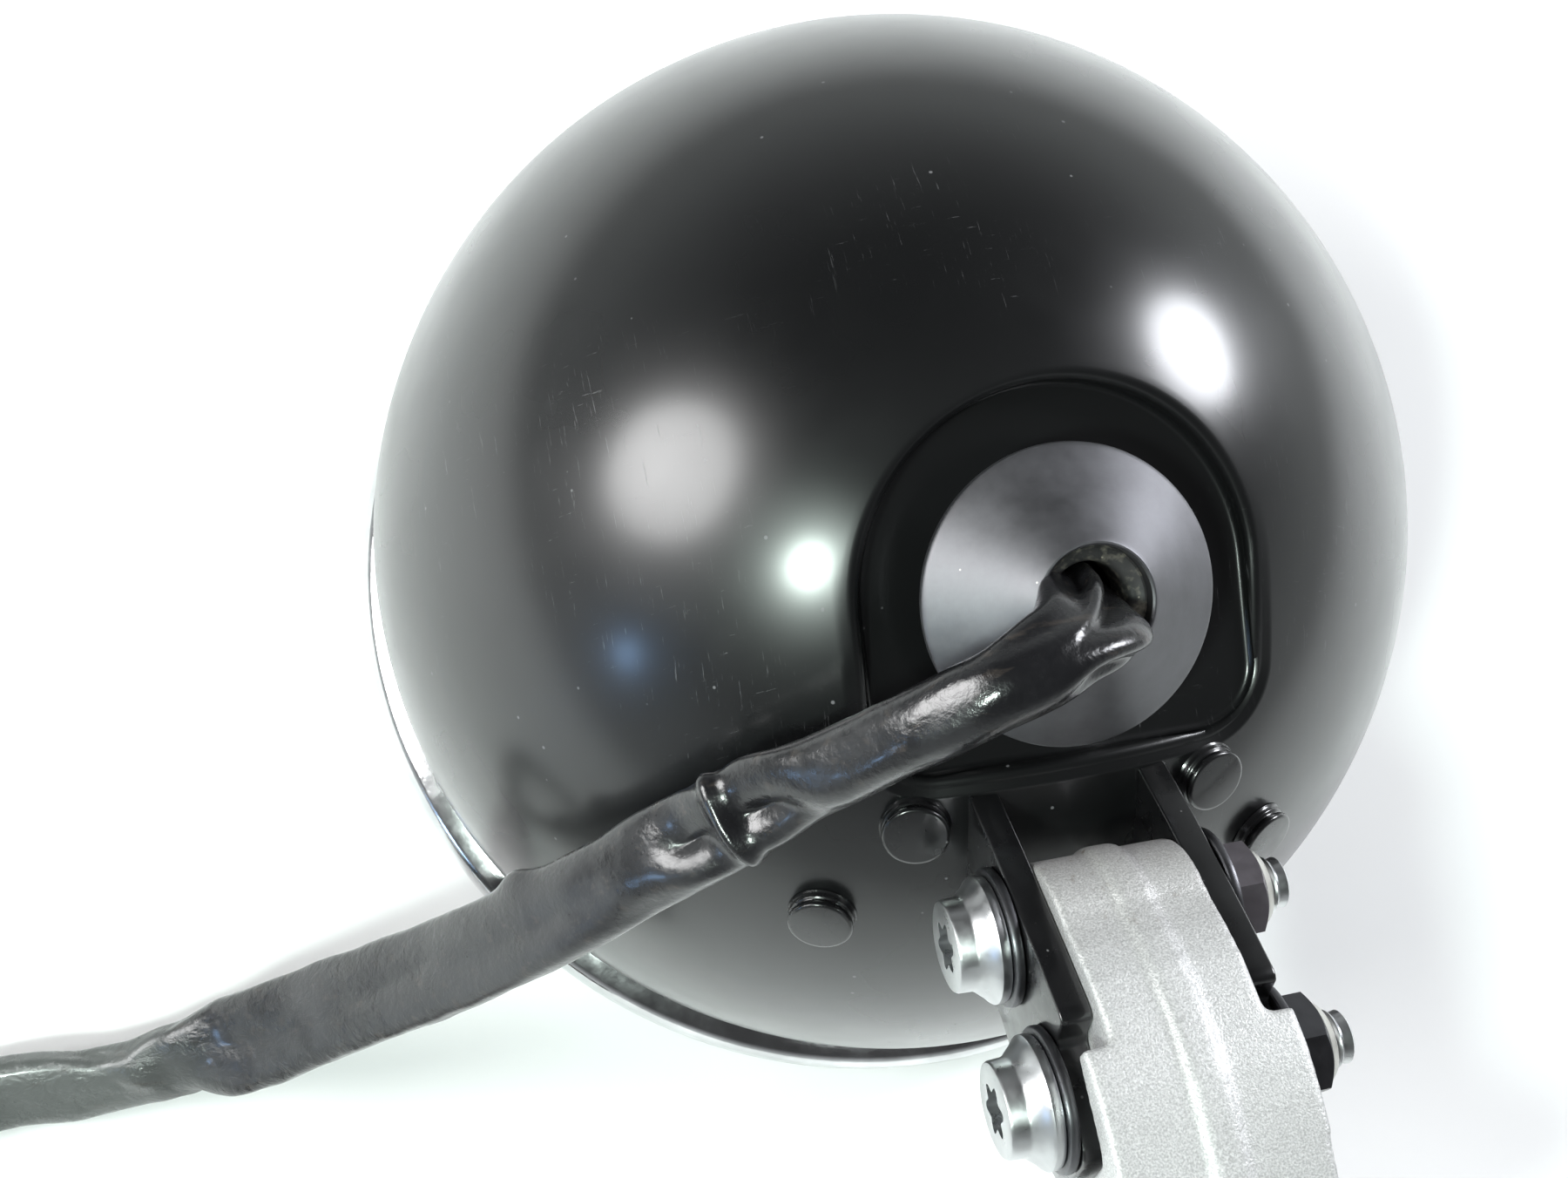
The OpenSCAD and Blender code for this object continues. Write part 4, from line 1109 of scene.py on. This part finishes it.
def arm_blank():
    """The arm's side outline cut to its outline from behind, with a wide shoulder."""
    body = slab("cast_arm", [
        *arc((ARM_END_U, 0), ARM_END_R, 270, 90, 24), *ARM_REAR,
        (FOOT_U - 6, FOOT_V - FOOT_T + 1), (FOOT_U - 20, FOOT_V - FOOT_T + 6.4),
        (SHOULDER_U + 14, -14), (SHOULDER_U, -ARM_END_R),
    ], -30, 30)
    half = [
        (-ARM_END_R - 2, ARM_HALF_GAP), (BEAM_U, ARM_HALF_GAP), (BEAM_U, ARM_HALF_W),
        (52, ARM_HALF_W - 1), (FOOT_U - 24, ARM_HALF_W + 1), (FOOT_U - 14, ARM_HALF_W + 5),
        (FOOT_U - 8, FOOT_PITCH / 2), (FOOT_U + 4, FOOT_PITCH / 2),
    ]
    plan = slab("arm_plan", [*half, *[(u, -w) for u, w in reversed(half)]], -80, 80)
    combined(body, moved(plan, UPRIGHT), "INTERSECT")
    shoulder = slab("arm_shoulder", [
        (SHOULDER_U, 12.6), (SHOULDER_U + 0.5, 15.8), *ARM_REAR[5:9], (BEAM_U + 3, 12.6), (BEAM_U + 3, -13.8), (BEAM_U, -14), (BEAM_U, 8), (BEAM_U - 2, 9.4),
    ], -ARM_HALF_W, ARM_HALF_W)
    return combined(body, shoulder, "UNION")


def arm():
    """The casting: a round end between the cheeks, a rib, shoulders, a beam and a bolted foot."""
    body = arm_blank()
    rib = slab("arm_rib", [
        *arc((ARM_END_U, 0), ARM_END_R + RIB_RISE, 190, 90, 20),
        *[(u, v + RIB_RISE) for u, v in ARM_REAR[:-1]], (FOOT_U - 12, FOOT_V - 2),
        (SHOULDER_U + 12, -6), (0, 0),
    ], -2.1, 2.3)
    combined(body, rib, "UNION")
    turn_back = AT_PIVOT.inverted()
    foot_y, foot_z = PIVOT_Y - ARM_REACH, PIVOT_Z + FOOT_RISE - FOOT_T
    foot = slab("arm_foot", [
        *arc((FOOT_PITCH / 2, 0), 12, -90, 90, 20), *arc((-FOOT_PITCH / 2, 0), 12, 90, 270, 20),
    ], 0, FOOT_T)
    moved(foot, turn_back @ Matrix.Translation((0, foot_y, foot_z)))
    combined(body, foot, "UNION")
    notch = slab("arm_notch", [(42, 6), (47, 4), (47, 14), (42, 14)], 2.8, 6.2)
    combined(body, notch, "DIFFERENCE")
    modify(body, "REMESH", mode="VOXEL", voxel_size=0.55, adaptivity=0.0)
    modify(body, "SMOOTH", factor=0.5, iterations=7)
    for u in (0, BOLT_PITCH):
        bore = rod("bore", 6.22, -40, 40)
        combined(body, moved(bore, Matrix.Translation((u, 0, 0))), "DIFFERENCE")
    for s in (-1, 1):
        at = turn_back @ Matrix.Translation((s * FOOT_PITCH / 2, foot_y, foot_z))
        hole = rod("hole", 4.25, -40, 40)
        seat = rod("seat", 8.5, FOOT_T - 0.35, FOOT_T + 4)
        combined(body, moved(hole, at), "DIFFERENCE")
        combined(body, moved(seat, at), "DIFFERENCE")
    finished(body, AT_PIVOT, "mount_arm", CAST, 45)
    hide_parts("arm")


# ---- bolts ----

def star(r_in, r_out, points=96):
    """Outline of a six-lobed socket."""
    outline = []
    for k in range(points):
        a = TURN * k / points
        r = mixed(r_in, r_out, 0.5 + 0.5 * cos(6 * a))
        outline.append((r * cos(a), r * sin(a)))
    return outline


def thread(end, radius=4, pitch=1.25):
    """Outline points of thread crests from height 0 to an end height."""
    points = []
    at = 0
    while at + pitch < end - 0.6:
        points += [(radius - 0.6, at), (radius - 0.06, at + pitch * 0.4),
                   (radius, at + pitch * 0.5), (radius - 0.06, at + pitch * 0.6)]
        at += pitch
    return [*points, (radius - 0.6, at), (radius - 0.35, end - 0.5), (radius - 1.0, end)]


def bolt(name, node, u):
    """Flange bolt with a conical collar and a six-lobed socket; its thread ends past the nut."""
    reach = HEAD_X + NUT_H + THREAD_OUT
    outline = [
        (0, HEAD_H), (5.9, HEAD_H), (6.3, HEAD_H - 0.15), (6.5, HEAD_H - 0.5), (6.6, 4.3),
        (6.8, 3.9), (8.1, 2.4), (8.7, 1.9), (8.98, 1.5), (8.98, 0.5), (8.8, 0.15), (8.3, 0),
        (4, 0), (4, -2 * HEAD_X - NUT_H + 0.8),
    ]
    bare = THREAD_OUT + 0.8
    outline += [(r, -(HEAD_X + reach - bare) - h) for r, h in thread(bare)]
    outline.append((0, -(HEAD_X + reach)))
    piece = turned(name, outline, 96, closed=False)
    socket = slab("socket", star(2.5, 3.75), 3.2, 9)
    combined(piece, socket, "DIFFERENCE")
    place = AT_PIVOT @ Matrix.Translation((u, 0, -HEAD_X)) @ Matrix.Rotation(pi, 4, "X")
    finished(piece, place, "mount_arm", ZINC, 32)
    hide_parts(node)


def washers():
    """Dark washers under the heads and the nuts."""
    for node, side in (("bolt_washers", -1), ("nut_washers", 1)):
        for k, u in enumerate((0, BOLT_PITCH)):
            piece = turned(f"{node}_{k + 1}", [
                (4.1, 0.1), (9.5, 0.1), (9.75, 0.3), (9.8, 0.6), (9.8, 1.1), (9.65, 1.4),
                (9.3, 1.55), (4.1, 1.55),
            ], 72)
            place = AT_PIVOT @ Matrix.Translation((u, 0, side * (HEAD_X - 1.6)))
            if side < 0:
                place = place @ Matrix.Rotation(pi, 4, "X")
            finished(piece, place, "mount_arm", DARK_STEEL)
            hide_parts(node)


def lock_nuts():
    """Hexagon lock nuts with a pale conical crown."""
    corner = 6.5 / cos(pi / 6)
    hexagon = [(corner * cos(TURN * i / 6), corner * sin(TURN * i / 6)) for i in range(6)]
    flat_h = NUT_H - 1.6
    for k, (u, finish, turn) in enumerate(((0, GREY_ZINC, 12), (BOLT_PITCH, DARK_STEEL, 20))):
        nut = slab(f"nut_hexagon_{k + 1}", hexagon, 0, flat_h)
        limit = turned("limit", [
            (0, -0.01), (6.6, -0.01), (7.7, 0.6), (7.7, NUT_H - 2.5), (6.4, flat_h), (0, flat_h),
        ], 72, closed=False)
        combined(nut, limit, "INTERSECT")
        combined(nut, rod("bore", 4.02, -1, 9), "DIFFERENCE")
        rounded(nut, 0.18, 2, 25)
        place = AT_PIVOT @ Matrix.Translation((u, 0, HEAD_X + 0.02))
        place = place @ Matrix.Rotation(radians(turn), 4, "Z")
        finished(nut, place, "mount_arm", finish, 30)
        crown = turned(f"nut_crown_{k + 1}", [
            (4.05, NUT_H - 1.7), (6.1, NUT_H - 1.7), (6.2, NUT_H - 1.45), (5.9, NUT_H - 1.1),
            (5.1, NUT_H - 0.2), (4.8, NUT_H), (4.05, NUT_H),
        ], 72)
        finished(crown, place, "mount_arm", PALE_ZINC, 40)
        if k == 0:
            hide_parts("lock_nuts")


# ---- front ----

def trim_ring():
    """Chromed ring: a flat land, a rolled section and a lip turned in over the shell's edge."""
    thick = 1.2
    top = SHELL_EDGE_H + 3.5
    inner = SHELL_EDGE_R + 0.9
    outline = [
        (inner, top - 0.2), (inner + 0.3, top), (TRIM_R - 2.2, top - 1.0), (TRIM_R - 1.2, top - 1.6),
        (TRIM_R - 0.35, top - 3.2),
        *arc((LAND_R, TRIM_ROLL), TRIM_ROLL, 0, -90, 20),
        (LAND_R - 1.6, 0), (LAND_R - 2, 0.4), (LAND_R - 2, thick),
        *arc((LAND_R, TRIM_ROLL), TRIM_ROLL - thick, -90, 0, 20),
        (TRIM_R - 1.2 - thick, top - 1.6 - thick), (inner, top - thick),
    ]
    piece = turned("chrome_trim_ring", outline, 240)
    finished(piece, Matrix.Identity(4), "lamp", CHROME, 50)
    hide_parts("trim_ring")


NODE_FINISHES = {
    "trim_screw": ZINC, "trim_gasket": RUBBER, "lens": LENS_GLASS, "mount_ring": DARK_STEEL,
    "unit_screws": ZINC, "lamp_bowl": BEZEL_CHROME, "bezel": BEZEL_CHROME, "ring_light": GUIDE,
    "projector_lens": LENS_GLASS, "projector_barrel": SINK_BLACK, "led_board": BOARD,
    "led_chips": LED_YELLOW, "heat_sink": SINK_BLACK, "driver_box": PLASTIC, "inner_lead": VINYL,
    "gland_nut": ZINC, "pivot_bush": DARK_STEEL, "clamp_bush": DARK_STEEL, "plug_terminals": BRASS,
}


def kept_nodes():
    """Finishes of the design's own solids that stay as they are."""
    for name, finish in NODE_FINISHES.items():
        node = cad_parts[name]
        if not node.material_slots:
            node.data.materials.append(finish)
        for slot in node.material_slots:
            slot.material = finish


shell()
rivets()
gland_collar()
gland_cap()
gland_ring()
cheek(-1)
cheek(1)
arm()
bolt("flange_bolt_upper", "pivot_bolt", 0)
bolt("flange_bolt_lower", "clamp_bolt", BOLT_PITCH)
washers()
lock_nuts()
trim_ring()
kept_nodes()
